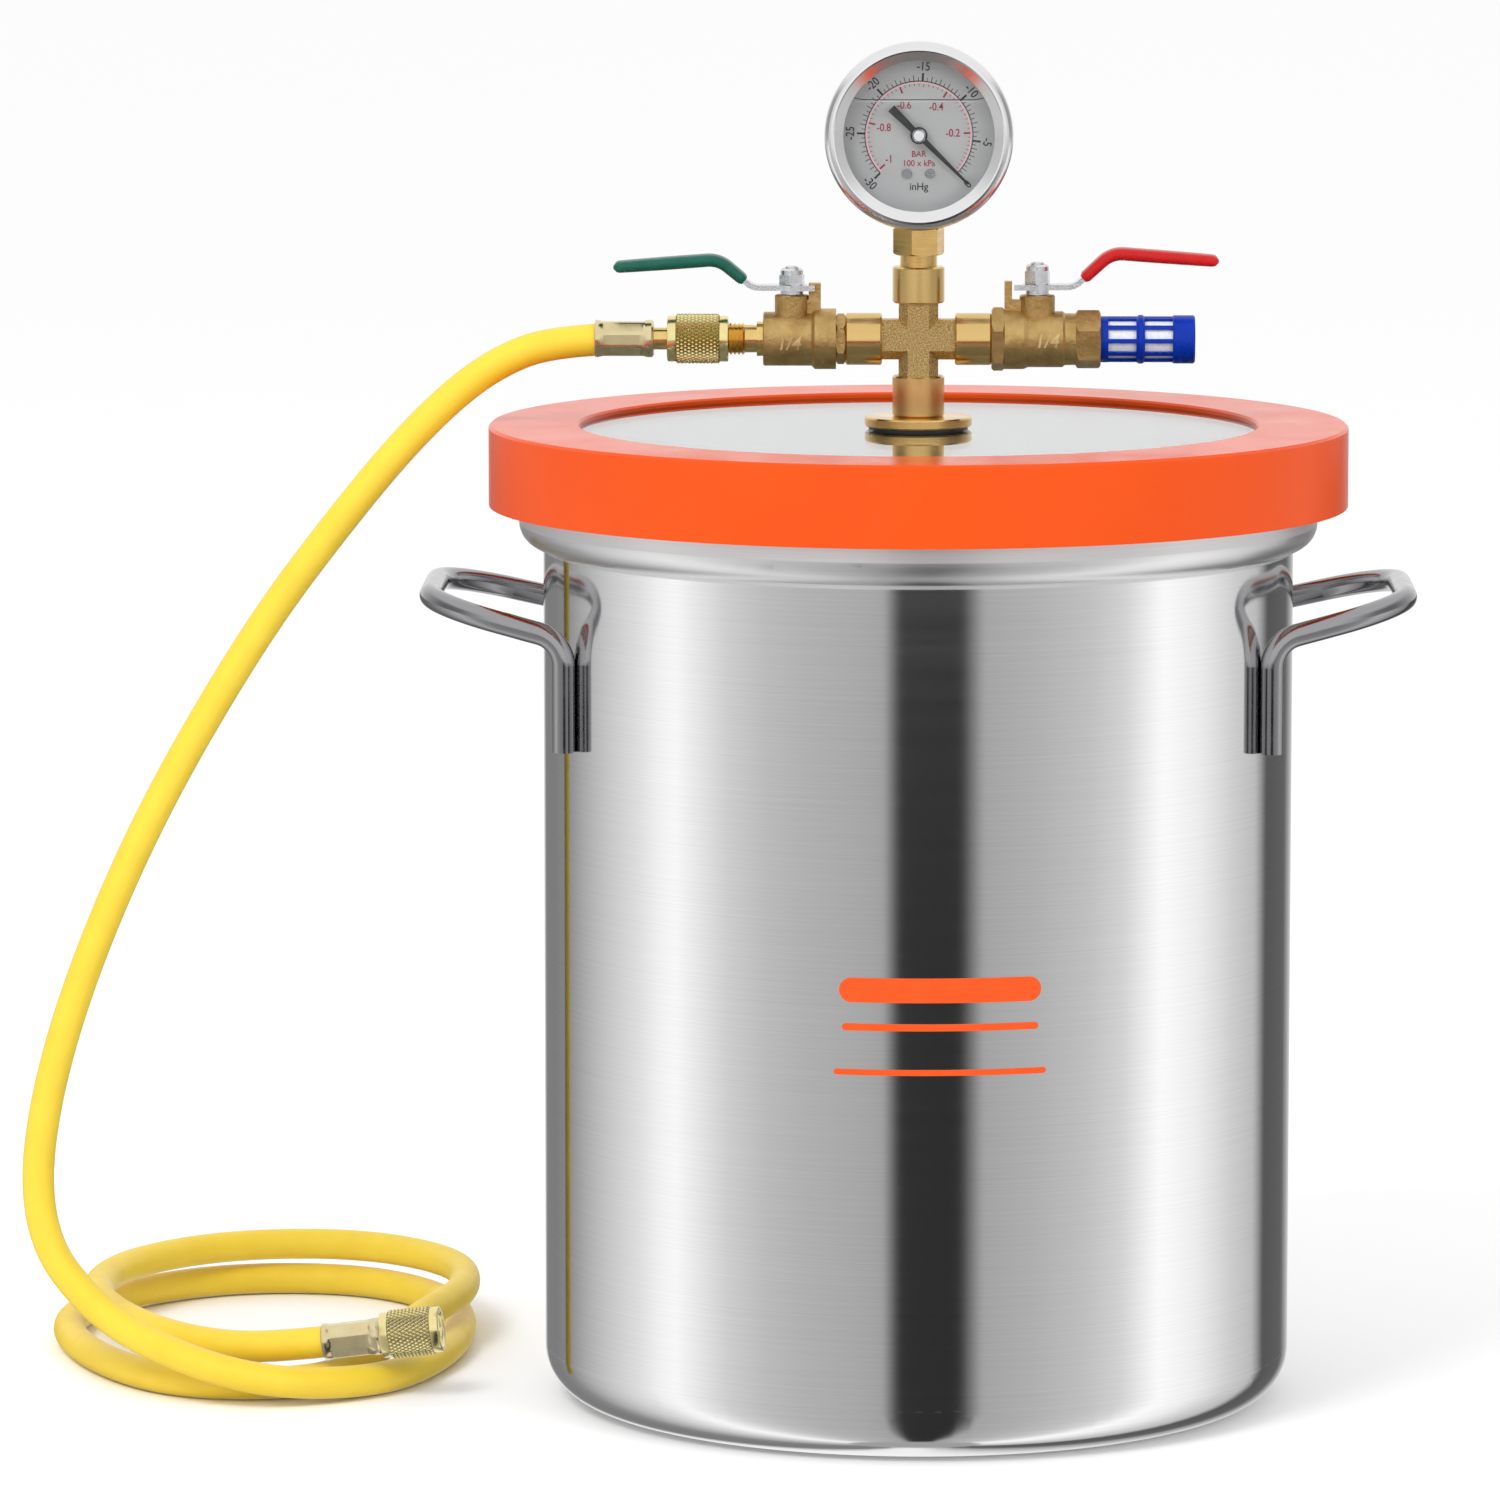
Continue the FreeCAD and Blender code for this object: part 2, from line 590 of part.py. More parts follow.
def gauge_socket():
    low = PIPE_Z + COLLAR_FAR
    post = turned([
        (1.5, low - 8.7), (THREAD_R, low - 8.7), (THREAD_R, low), (6.9, low), (6.9, 430.0),
        (5.2, 430.0), (5.2, 449.0), (1.5, 449.0),
    ])
    block = box((-6.0, -3.0, 447.0), (6.0, 5.0, 453.6)).cut(rod(1.5, V(0, 0, 446), 9))
    hexagonal = hexagon(17.0, V(0, 0, 430.0), 10.3, Z, 15, 0.4).cut(rod(4.0, V(0, 0, 429), 13))
    return post.fuse([hexagonal, block]).removeSplitter()


def gauge_case():
    back = GAUGE_BACK_Y
    cup = facing([
        (0, back), (CASE_R - 2.0, back), (CASE_R, back - 2.0), (CASE_R, -14.0),
        (CASE_R - 1.0, -14.0), (CASE_R - 1.0, back - 2.0), (CASE_R - 2.4, back - 1.0), (0, back - 1.0),
    ])
    return cup.cut([rod(5.25, V(0, 0, 440), 8), rod(4.0, V(0, 2, 500), 10)])


def gauge_bezel():
    front = GAUGE_FRONT_Y
    turn = BEZEL_R - 31.8
    slant = [(31.8 + turn * math.sin(math.radians(a)), front + turn * (1 - math.cos(math.radians(a))))
             for a in (15, 30, 45, 60, 75)]
    return facing([
        (WINDOW_R, front + 1.9), (31.3, front + 0.1), (31.8, front)] + slant + [
        (BEZEL_R, front + turn), (BEZEL_R, front + 7.4),
        (BEZEL_R - 1.2, front + 9.0), (CASE_R + 0.05, front + 9.0), (CASE_R + 0.05, front + 5.0),
        (CASE_R - 0.1, front + 5.0), (CASE_R - 0.1, front + 2.2), (WINDOW_R, front + 2.2),
    ])


def gauge_lens():
    return facing([(0, -16.75), (31.2, -16.75), (31.2, -14.75), (0, -14.75)])


def gauge_dial():
    disc = facing([(1.7, -8.8), (30.2, -8.8), (30.2, -8.0), (1.7, -8.0)])
    return disc.cut([rod(1.05, V(x, -12, SCREW_Z), 10, Y) for x in (-SCREW_X, SCREW_X)])


def dial_screws():
    screws = []
    for x in (-SCREW_X, SCREW_X):
        head = rod(1.9, V(x, -9.7, SCREW_Z), 0.9, Y)
        slot = box((x - 2.5, -9.8, SCREW_Z - 0.25), (x + 2.5, -9.3, SCREW_Z + 0.25))
        shank = rod(1.0, V(x, -8.85, SCREW_Z), 3.85, Y)
        screws.append(head.cut(slot).fuse(shank))
    return Part.makeCompound(screws)


def movement_plates():
    """Front and back plates with two pillars; the back one sits on the socket."""
    front = box((-8.0, -6.4, 457.0), (8.0, -5.2, 484.0))
    front = front.cut([rod(1.05, V(x, -12, SCREW_Z), 10, Y) for x in (-SCREW_X, SCREW_X)])
    back = box((-8.0, 3.0, 457.0), (8.0, 4.2, 484.0))
    pillars = [rod(1.5, V(x, -5.2, 482.0), 8.2, Y) for x in (-6.2, 6.2)]
    foot = box((-6.0, 3.0, 453.6), (6.0, 4.2, 457.0))
    plates = front.fuse([back, foot] + pillars)
    bearings = [rod(0.85, V(0, -8, GAUGE_Z), 16, Y), rod(1.05, V(0, -8, GAUGE_Z - 14.0), 16, Y)]
    return plates.cut(bearings).removeSplitter()


def gear_outline(teeth, pitch_r, addendum, dedendum):
    """Wire of straight-flanked teeth round the pitch circle, tooth 0 on +X."""
    points = []
    step = 2 * math.pi / teeth
    shape = [(-0.30, -dedendum), (-0.12, addendum), (0.12, addendum), (0.30, -dedendum)]
    for k in range(teeth):
        for share, height in shape:
            angle = (k + share) * step
            radius = pitch_r + height
            points.append(V(radius * math.cos(angle), 0, radius * math.sin(angle)))
    return Part.makePolygon(points + points[:1])


def pinion():
    """Ten-leaf pinion on the pointer spindle, a gap facing the sector below."""
    gear = Part.Face(gear_outline(PINION_TEETH, PINION_R, 0.22, 0.34))
    gear = gear.extrude(V(0, 2.0, 0))
    gear.rotate(V(0, 0, 0), Y, 90.0 + 18.0)
    gear.translate(V(0, -1.0, GAUGE_Z))
    spindle = rod(0.8, V(0, -12.6, GAUGE_Z), 16.4, Y)
    return gear.fuse(spindle)


def sector_gear():
    """Toothed sector that the tube's tip swings, with its arbor and tail."""
    pivot = V(0, 0, GAUGE_Z - SECTOR_R - PINION_R)
    wheel = Part.Face(gear_outline(SECTOR_TEETH, SECTOR_R, 0.22, 0.34)).extrude(V(0, 1.0, 0))
    wheel.rotate(V(0, 0, 0), Y, -90.0)
    # kept: the arc that the pinion rolls over, from the start to 45 degrees on
    angles = [math.radians(a) for a in (75, 100, 120, 145)]
    reach = 16.0
    fan = [V(0, 0, 0)] + [V(reach * math.cos(a), 0, reach * math.sin(a)) for a in angles]
    wedge = Part.Face(Part.makePolygon(fan + fan[:1])).extrude(V(0, 1.0, 0))
    wheel = wheel.common(wedge)
    hub = rod(2.4, V(0, -0.8, 0), 2.4, Y)
    tail = box((-1.2, 0, -5.8), (1.2, 1.0, 0))
    arbor = rod(1.0, V(0, -6.2, 0), 10.2, Y)
    gear = wheel.fuse([hub, tail, arbor])
    gear.translate(pivot + V(0, -0.5, 0))
    return gear.removeSplitter()


def bourdon_tube():
    """Flattened C tube that straightens under vacuum, closed at its free tip."""
    outer = ring(25.0, 22.6, V(0, 5.6, GAUGE_Z), 4.4, Y)
    gap = [V(0, 0, 0), V(40, 0, 0), V(40, 0, -40), V(9, 0, -40)]
    wedge = Part.Face(Part.makePolygon(gap + gap[:1])).extrude(V(0, 20, 0))
    wedge.translate(V(0, 0, GAUGE_Z))
    tube = outer.cut(wedge)
    stub = box((-4.0, 5.0, 449.5), (4.0, 10.0, 453.0))
    return tube.fuse(stub).removeSplitter()


def gauge_pointer():
    """Long tapered needle, wide tail and round hub, laid out pointing to +X."""
    y = -11.6
    outline = [(26.0, 0.0), (25.4, 0.4), (3.0, 1.05), (-3.0, 1.15), (-14.4, 1.6)]
    lower = [(x, -h) for x, h in reversed(outline[1:])]
    points = [V(x, 0, h) for x, h in outline + lower]
    needle = Part.Face(Part.makePolygon(points + points[:1])).extrude(V(0, 0.5, 0))
    hub = rod(3.2, V(0, -0.4, 0), 0.9, Y)
    pointer = needle.fuse(hub).cut(rod(0.8 + THREAD_GAP, V(0, -2, 0), 5, Y))
    pointer.rotate(V(0, 0, 0), Y, POINTER_REST)
    pointer.translate(V(0, y, GAUGE_Z))
    return pointer


POINTER_REST = 44.5      # degrees below horizontal, towards the lower right


def pointer_cap():
    return facing([(0, -13.6), (1.9, -13.6), (2.6, -12.9), (2.6, -12.05), (0.85, -12.05),
                   (0.85, -12.65), (0, -12.65)])


def fill_plug():
    head = rod(5.0, V(0, 2, GAUGE_Z + CASE_R + 0.1), 2.2, Z)
    neck = rod(3.9, V(0, 2, GAUGE_Z + CASE_R - 3.0), 3.2, Z)
    return head.fuse(neck)


# ---- all the parts -----------------------------------------------------------------------
hose_run, hose_coil = hose_parts()
parts = {
    "pot_wall": pot_wall(),
    "pot_base": pot_base(),
    "left_handle": handle(-1),
    "right_handle": handle(1),
    "lid_gasket": lid_gasket(),
    "lid_glass": lid_glass(),
    "bulkhead_fitting": bulkhead_fitting(),
    "bulkhead_upper_washer": ring(18.5, SHANK_R + 0.2, V(0, 0, GLASS_TOP_Z), 1.0),
    "bulkhead_lower_washer": ring(17.0, SHANK_R + 0.2, V(0, 0, 352.0), 2.0),
    "bulkhead_steel_washer": ring(15.5, SHANK_R + 0.2, V(0, 0, 350.5), 1.5),
    "bulkhead_lock_nut": bulkhead_lock_nut(),
    "cross_fitting": cross_fitting(),
    "inlet_valve_body": inlet_valve_body(),
    "vent_valve_body": vent_valve_body(),
    "inlet_end_piece": inlet.end_piece((16.4, -16.5, 0)),
    "vent_end_piece": vent.end_piece((21.4, -12.2, 12)),
    "flare_adapter": flare_adapter(),
    "silencer_shell": silencer_shell(),
    "silencer_filter": silencer_filter(),
    "hose_run": hose_run,
    "hose_coil": hose_coil,
    "inlet_ferrule": inlet_end.ferrule(),
    "inlet_hose_tail": inlet_end.hose_tail(),
    "inlet_knurled_nut": inlet_end.nut(),
    "inlet_nut_seal": inlet_end.seal(),
    "free_ferrule": free_end.ferrule(),
    "free_hose_tail": free_end.hose_tail(),
    "free_knurled_nut": free_end.nut(),
    "free_nut_seal": free_end.seal(),
    "gauge_socket": gauge_socket(),
    "gauge_case": gauge_case(),
    "gauge_bezel": gauge_bezel(),
    "gauge_lens": gauge_lens(),
    "gauge_dial": gauge_dial(),
    "dial_screws": dial_screws(),
    "gauge_pointer": gauge_pointer(),
    "pointer_cap": pointer_cap(),
    "pointer_pinion": pinion(),
    "sector_gear": sector_gear(),
    "movement_plates": movement_plates(),
    "bourdon_tube": bourdon_tube(),
    "gauge_fill_plug": fill_plug(),
}
for valve in (inlet, vent):
    lever = valve.lever()
    parts[valve.name + "_ball"] = valve.ball()
    parts[valve.name + "_ball_seats"] = valve.ball_seats()
    parts[valve.name + "_stem"] = valve.stem_part()
    parts[valve.name + "_stem_packing"] = valve.stem_packing()
    parts[valve.name + "_lever"] = lever
    parts[valve.name + "_lever_sleeve"] = valve.lever_sleeve(lever, 5.0)
    parts[valve.name + "_lever_nut"] = valve.lever_nut()

for name, shape in parts.items():
    solids = len(shape.Solids)
    if not shape.isValid() or solids == 0:
        print("check", name, shape.ShapeType, solids)
    shape.exportStep("parts/" + name + ".step")
print(len(parts), "parts written")
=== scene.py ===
import json
import math
import bmesh
import bpy
import numpy as np
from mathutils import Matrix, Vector


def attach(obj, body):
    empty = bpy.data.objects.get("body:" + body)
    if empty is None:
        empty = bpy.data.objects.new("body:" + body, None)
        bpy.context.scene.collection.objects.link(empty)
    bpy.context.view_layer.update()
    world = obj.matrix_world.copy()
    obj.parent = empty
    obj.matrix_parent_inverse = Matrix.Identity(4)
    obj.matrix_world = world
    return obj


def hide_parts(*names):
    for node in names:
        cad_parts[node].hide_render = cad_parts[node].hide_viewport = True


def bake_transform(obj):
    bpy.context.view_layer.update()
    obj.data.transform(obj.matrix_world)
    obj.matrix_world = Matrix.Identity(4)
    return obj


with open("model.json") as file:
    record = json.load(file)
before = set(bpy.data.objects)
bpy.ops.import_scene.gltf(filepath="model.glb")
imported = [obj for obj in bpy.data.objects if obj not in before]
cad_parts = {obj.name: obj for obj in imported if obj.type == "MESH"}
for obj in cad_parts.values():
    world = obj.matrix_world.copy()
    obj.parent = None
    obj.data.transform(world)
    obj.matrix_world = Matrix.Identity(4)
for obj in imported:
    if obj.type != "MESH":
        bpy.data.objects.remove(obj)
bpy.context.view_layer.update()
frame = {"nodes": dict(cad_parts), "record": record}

NODES = frame["nodes"]
MM = 0.001
PIPE_Z = 398.5           # mm, height of the valves' and the hose end's common axis
DIAL_Z = 475.0           # mm, height of the gauge's centre

# ---- camera -------------------------------------------------------------------
camera_data = bpy.data.cameras.new("camera")
camera_data.sensor_width = 36.0
camera_data.lens = 219.05
camera = bpy.data.objects.new("camera", camera_data)
bpy.context.scene.collection.objects.link(camera)
camera.location = (0.0, -3.393, 0.6888)
camera.rotation_euler = (math.radians(82.53), 0.0, math.radians(1.06))
bpy.context.scene.camera = camera
bpy.context.scene.view_settings.view_transform = "Standard"


# ---- materials ----------------------------------------------------------------
class Look:
    """A Principled material whose variation comes from its own nodes."""

    def __init__(self, name, base, roughness, metallic=0.0, **constants):
        self.mat = bpy.data.materials.new(name)
        self.mat.use_nodes = True
        self.tree = self.mat.node_tree
        self.bsdf = self.tree.nodes["Principled BSDF"]
        self.base = base
        self.bsdf.inputs["Base Color"].default_value = (*base, 1.0)
        self.bsdf.inputs["Roughness"].default_value = roughness
        self.bsdf.inputs["Metallic"].default_value = metallic
        for key, value in constants.items():
            self.bsdf.inputs[key.replace("_", " ")].default_value = value
        self.height = None

    def node(self, kind, **values):
        made = self.tree.nodes.new(kind)
        for key, value in values.items():
            setattr(made, key, value)
        return made

    def link(self, output, socket):
        self.tree.links.new(output, socket)

    def noise(self, scale, stretch=(1.0, 1.0, 1.0), detail=3.0, roughness=0.55):
        """Noise on object coordinates; scale is in cells per metre."""
        coords = self.node("ShaderNodeTexCoord")
        mapping = self.node("ShaderNodeMapping")
        mapping.inputs["Scale"].default_value = tuple(scale * s for s in stretch)
        texture = self.node("ShaderNodeTexNoise")
        texture.inputs["Scale"].default_value = 1.0
        texture.inputs["Detail"].default_value = detail
        texture.inputs["Roughness"].default_value = roughness
        self.link(coords.outputs["Object"], mapping.inputs["Vector"])
        self.link(mapping.outputs["Vector"], texture.inputs["Vector"])
        return texture.outputs["Fac"]

    def position(self):
        """X, Y and Z of the object coordinates, in metres."""
        coords = self.node("ShaderNodeTexCoord")
        split = self.node("ShaderNodeSeparateXYZ")
        self.link(coords.outputs["Object"], split.inputs["Vector"])
        return tuple(split.outputs)

    def math(self, operation, *values):
        """One math node; each value is an output or a number."""
        node = self.node("ShaderNodeMath", operation=operation)
        for socket, value in zip(node.inputs, values):
            if isinstance(value, float):
                socket.default_value = value
            else:
                self.link(value, socket)
        return node.outputs[0]

    def blend(self, share, low, high):
        """One colour mix; each colour is an output or three numbers."""
        mix = self.node("ShaderNodeMix", data_type="RGBA")
        self.link(share, mix.inputs[0])
        for socket, colour in ((mix.inputs[6], low), (mix.inputs[7], high)):
            if isinstance(colour, tuple):
                socket.default_value = (*colour, 1.0)
            else:
                self.link(colour, socket)
        return mix.outputs[2]

    def ramp(self, value, low, high, start=0.3, end=0.7):
        """Runs from low to high while value runs from start to end."""
        ramp = self.node("ShaderNodeMapRange", clamp=True)
        ramp.inputs["From Min"].default_value = start
        ramp.inputs["From Max"].default_value = end
        ramp.inputs["To Min"].default_value = low
        ramp.inputs["To Max"].default_value = high
        self.link(value, ramp.inputs["Value"])
        return ramp.outputs["Result"]

    def mottle(self, value, other, start=0.3, end=0.7):
        """Base colour runs to another colour with value."""
        share = self.ramp(value, 0.0, 1.0, start, end)
        self.link(self.blend(share, self.base, other), self.bsdf.inputs["Base Color"])
        return self

    def gloss(self, value, low, high):
        """Roughness runs from low to high with value."""
        self.link(self.ramp(value, low, high), self.bsdf.inputs["Roughness"])
        return self

    def bump(self, value, depth):
        """Adds relief; depth is in metres."""
        node = self.node("ShaderNodeBump")
        node.inputs["Strength"].default_value = 1.0
        node.inputs["Distance"].default_value = depth
        self.link(value, node.inputs["Height"])
        if self.height is not None:
            self.link(self.height, node.inputs["Normal"])
        self.height = node.outputs["Normal"]
        self.link(self.height, self.bsdf.inputs["Normal"])
        return self


RIM_START = 0.3200       # the rim's step begins here, in metres
SATIN_RIM = 0.25         # how much rougher the rim is than the wall
DULL_INSIDE = 0.3        # how much rougher the inside is than the outside
INSIDE_R = 0.1393        # the wall's surfaces within this radius are its dull inside
FLAT_R = 0.1195          # below the seam only the flat bottom within this radius is
BASE_TOP = 0.020         # height of the seam


def brushed_steel():
    """Fine rings round the pot's wall; its rim is satin and its inside dull."""
    look = Look("steel_brushed", (0.90, 0.90, 0.905), 0.09, 1.0, Anisotropic=0.35,
                Anisotropic_Rotation=0.25)
    tangent = look.node("ShaderNodeTangent", direction_type="RADIAL", axis="Z")
    look.link(tangent.outputs["Tangent"], look.bsdf.inputs["Tangent"])
    fine = look.noise(1.0, (9.0, 9.0, 2600.0), 4.0, 0.7)
    broad = look.noise(1.0, (5.0, 5.0, 240.0), 3.0)
    look.mottle(fine, (0.82, 0.82, 0.83), 0.35, 0.8)
    x, y, z = look.position()
    satin = look.ramp(z, 0.0, SATIN_RIM, RIM_START, RIM_START + 0.0007)
    outside = look.math("ADD", look.ramp(broad, 0.082, 0.102), satin)
    flat = look.node("ShaderNodeCombineXYZ")
    look.link(x, flat.inputs["X"])
    look.link(y, flat.inputs["Y"])
    radius = look.node("ShaderNodeVectorMath", operation="LENGTH")
    look.link(flat.outputs["Vector"], radius.inputs[0])
    wider = look.ramp(z, 0.0, INSIDE_R - FLAT_R, BASE_TOP - 0.0001, BASE_TOP)
    shifted = look.math("SUBTRACT", radius.outputs["Value"], wider)
    inside = look.ramp(shifted, 1.0, 0.0, FLAT_R, FLAT_R + 0.0002)
    dull = look.math("MULTIPLY_ADD", inside, DULL_INSIDE, outside)
    look.link(dull, look.bsdf.inputs["Roughness"])
    look.link(look.ramp(inside, 1.0, 0.35, 0.0, 1.0), look.bsdf.inputs["Metallic"])
    look.bump(fine, 0.0000015)
    return look.mat


def polished_metal(name, base, low, high):
    """Smooth metal whose roughness wanders from low to high."""
    look = Look(name, base, low, 1.0)
    look.gloss(look.noise(90.0), low, high)
    look.bump(look.noise(700.0, detail=2.0), 0.000006)
    return look.mat


def zinc_plate():
    """Bright plating, uneven at the scale of a few millimetres."""
    look = Look("zinc_plate", (0.80, 0.81, 0.83), 0.2, 1.0)
    look.mottle(look.noise(260.0), (0.66, 0.67, 0.69))
    look.gloss(look.noise(420.0), 0.16, 0.32)
    look.bump(look.noise(1500.0), 0.00003)
    return look.mat


def machined_brass(name, base, dark, stretch):
    """Turned brass; stretch makes the tool lines run round the part's axis."""
    look = Look(name, base, 0.2, 1.0)
    look.mottle(look.noise(130.0), dark)
    lines = look.noise(1.0, stretch, 2.0)
    look.gloss(lines, 0.14, 0.26)
    look.bump(lines, 0.000012)
    return look.mat


def knurl_brass():
    """Turned brass with painted shade: its colour is darker down in the knurling's grooves."""
    look = Look("brass_knurled", (0.90, 0.77, 0.36), 0.2, 1.0)
    depth = look.node("ShaderNodeAttribute", attribute_type="GEOMETRY", attribute_name="groove")
    # Painted shade: the groove depth darkens the brass towards this colour.
    look.mottle(depth.outputs["Fac"], (0.26, 0.19, 0.06), 0.35, 0.95)
    look.gloss(look.noise(900.0), 0.16, 0.26)
    return look.mat


def cast_brass():
    """Sandblasted casting."""
    look = Look("brass_cast", (0.68, 0.47, 0.19), 0.4, 1.0)
    look.mottle(look.noise(190.0, detail=4.0), (0.52, 0.335, 0.12))
    look.gloss(look.noise(500.0), 0.34, 0.5)
    look.bump(look.noise(1500.0, detail=4.0), 0.00018)
    look.bump(look.noise(380.0, detail=2.0), 0.0003)
    return look.mat


CAST_REACH = 13.6 * MM   # from the cross's centre to its machined collars
CAST_SPECKLE = ((0.44, 0.29, 0.10), (0.84, 0.62, 0.28))
COLLAR_COLOUR = (0.73, 0.50, 0.195)


def cross_brass():
    """Cast body in the middle, machined collars beyond it."""
    look = Look("brass_cross", (0.74, 0.52, 0.215), 0.3, 1.0)
    x, _, z = look.position()
    upright = look.math("ABSOLUTE", look.math("SUBTRACT", z, PIPE_Z * MM))
    reach = look.math("MAXIMUM", look.math("ABSOLUTE", x), upright)
    edge = 0.05 * MM
    machined = look.ramp(reach, 0.0, 1.0, CAST_REACH - edge, CAST_REACH + edge)
    grains = look.ramp(look.noise(1900.0, detail=2.0), 0.0, 1.0, 0.38, 0.62)
    colour = look.blend(machined, look.blend(grains, *CAST_SPECKLE), COLLAR_COLOUR)
    look.link(colour, look.bsdf.inputs["Base Color"])
    look.link(look.ramp(machined, 0.46, 0.18, 0.0, 1.0), look.bsdf.inputs["Roughness"])
    blasted = look.math("MULTIPLY", look.noise(1500.0, detail=4.0),
                        look.ramp(machined, 1.0, 0.03, 0.0, 1.0))
    look.bump(blasted, 0.00026)
    return look.mat


def plain(name, base, other, roughness, grain=0.0, grain_scale=900.0, spread=160.0, **more):
    """Plastic, rubber or paint with slight unevenness of colour, gloss and surface."""
    look = Look(name, base, roughness, **more)
    look.mottle(look.noise(spread), other)
    look.gloss(look.noise(spread * 2.2), roughness * 0.85, roughness * 1.15)
    if grain:
        look.bump(look.noise(grain_scale), grain)
    return look.mat


def clear_glass(name, base, ior):
    """Glass with a barely uneven polish."""
    look = Look(name, base, 0.0, Transmission_Weight=1.0, IOR=ior)
    look.gloss(look.noise(14.0), 0.0, 0.012)
    return look.mat


LINES_ROUND_Z = (60.0, 60.0, 2400.0)
LINES_ROUND_X = (2400.0, 60.0, 60.0)
LENS_IOR = 1.15          # low, because the photo's lens hardly mirrors anything

# Looks by the record's material slots, then those for single nodes and drawn pieces.
MATS = {
    "steel": brushed_steel(),
    # The handles' steel is painted dark: painted reflection of the dark surroundings in the
    # polished handles.
    "handle_steel": polished_metal("steel_handle_painted_reflection", (0.34, 0.34, 0.35), 0.12, 0.19),
    "zinc_steel": zinc_plate(),
    "gasket_rubber": plain("silicone_orange", (0.71, 0.072, 0.003), (0.68, 0.066, 0.003), 0.22,
                           0.00002, 300.0, 20.0, Specular_IOR_Level=0.2),
    "glass": clear_glass("glass_clear", (0.90, 0.94, 0.93), 1.5),
    "black_rubber": plain("rubber_black", (0.016, 0.016, 0.017), (0.03, 0.03, 0.03), 0.5, 0.00003),
    "brass": machined_brass("brass_machined", (0.80, 0.54, 0.20), (0.70, 0.44, 0.15),
                            LINES_ROUND_Z),
    "cast_brass": cast_brass(),
    "ptfe": plain("ptfe_white", (0.84, 0.84, 0.82), (0.78, 0.78, 0.76), 0.4),
    "green_grip": plain("vinyl_green", (0.006, 0.100, 0.068), (0.004, 0.086, 0.058), 0.3,
                        0.00001, 500.0, Specular_IOR_Level=0.3),
    "red_grip": plain("vinyl_red", (0.50, 0.009, 0.009), (0.45, 0.007, 0.007), 0.28,
                      0.00001, 500.0, Specular_IOR_Level=0.25),
    "yellow_hose": plain("hose_yellow", (0.835, 0.60, 0.035), (0.785, 0.555, 0.028), 0.42,
                         0.00004, 700.0, 60.0),
    "blue_plastic": plain("nylon_blue", (0.0, 0.029, 0.37), (0.0, 0.024, 0.32), 0.3,
                          0.00002, 800.0, Specular_IOR_Level=0.18),
    "white_filter": plain("filter_white", (0.80, 0.84, 0.88), (0.66, 0.71, 0.77), 0.7,
                          0.00012, 2200.0, 900.0),
    "gauge_steel": polished_metal("steel_bezel", (0.80, 0.80, 0.81), 0.15, 0.23),
    # The white dial is painted grey: painted shade of the gauge case on the dial.
    "dial_white": plain("dial_painted_shade", (0.43, 0.43, 0.435), (0.41, 0.41, 0.415), 0.5),
    "black_paint": plain("paint_black", (0.010, 0.010, 0.011), (0.016, 0.016, 0.018), 0.4),
    "spring_bronze": machined_brass("bronze_spring", (0.60, 0.34, 0.14), (0.5, 0.27, 0.10),
                                    (60.0, 60.0, 900.0)),
    "brass_x": machined_brass("brass_turned", (0.86, 0.62, 0.24), (0.74, 0.49, 0.16),
                              LINES_ROUND_X),
    "cross_brass": cross_brass(),
    "lens": clear_glass("lens_clear", (0.97, 0.985, 0.98), LENS_IOR),
    "screw_grey": polished_metal("screw_grey", (0.26, 0.26, 0.27), 0.25, 0.4),
    "brass_pale": machined_brass("brass_crimped", (0.80, 0.69, 0.41), (0.73, 0.61, 0.34),
                                 LINES_ROUND_X),
    "brass_nut": knurl_brass(),
    "brass_raised": polished_metal("brass_raised", (0.86, 0.66, 0.32), 0.42, 0.55),
    # Painted shade and painted highlight for the line of the gauge filling's surface.
    "liquid_painted_shade": plain("liquid_painted_shade", (0.05, 0.05, 0.055), (0.09, 0.09, 0.095), 0.2),
    "liquid_glint": plain("liquid_glint", (0.62, 0.62, 0.64), (0.52, 0.52, 0.54), 0.2),
    "print_red": plain("print_red", (0.30, 0.01, 0.03), (0.26, 0.01, 0.025), 0.5),
    "print_pink": plain("print_pink", (0.80, 0.45, 0.50), (0.76, 0.40, 0.46), 0.5),
    "print_orange": plain("print_orange", (0.76, 0.080, 0.006), (0.72, 0.072, 0.005), 0.4,
                          Specular_IOR_Level=0.2),
}
OWN_LOOKS = {
    "cross_fitting": "cross_brass", "gauge_lens": "lens", "dial_screws": "screw_grey",
    "inlet_stem": "zinc_steel", "vent_stem": "zinc_steel",
    "inlet_hose_tail": "brass_x", "free_hose_tail": "brass_x", "flare_adapter": "brass_x",
}
for row in frame["record"]["subparts"]:
    mesh = NODES[row["node"]].data
    mesh.materials.clear()
    mesh.materials.append(MATS[OWN_LOOKS.get(row["node"], row["material_slot"])])


# ---- mesh helpers -------------------------------------------------------------
def mesh_piece(name, verts, faces, look, body=None, sharp=30.0):
    """Makes a closed mesh object from metre coordinates and rides it on a body."""
    mesh = bpy.data.meshes.new(name)
    mesh.from_pydata([tuple(v) for v in verts], [], [tuple(f) for f in faces])
    shape = bmesh.new()
    shape.from_mesh(mesh)
    bmesh.ops.recalc_face_normals(shape, faces=shape.faces)
    shape.to_mesh(mesh)
    shape.free()
    mesh.shade_smooth()
    mesh.set_sharp_from_angle(angle=math.radians(sharp))
    mesh.materials.append(MATS[look])
    piece = bpy.data.objects.new(name, mesh)
    bpy.context.scene.collection.objects.link(piece)
    if body:
        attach(piece, body)
    return piece


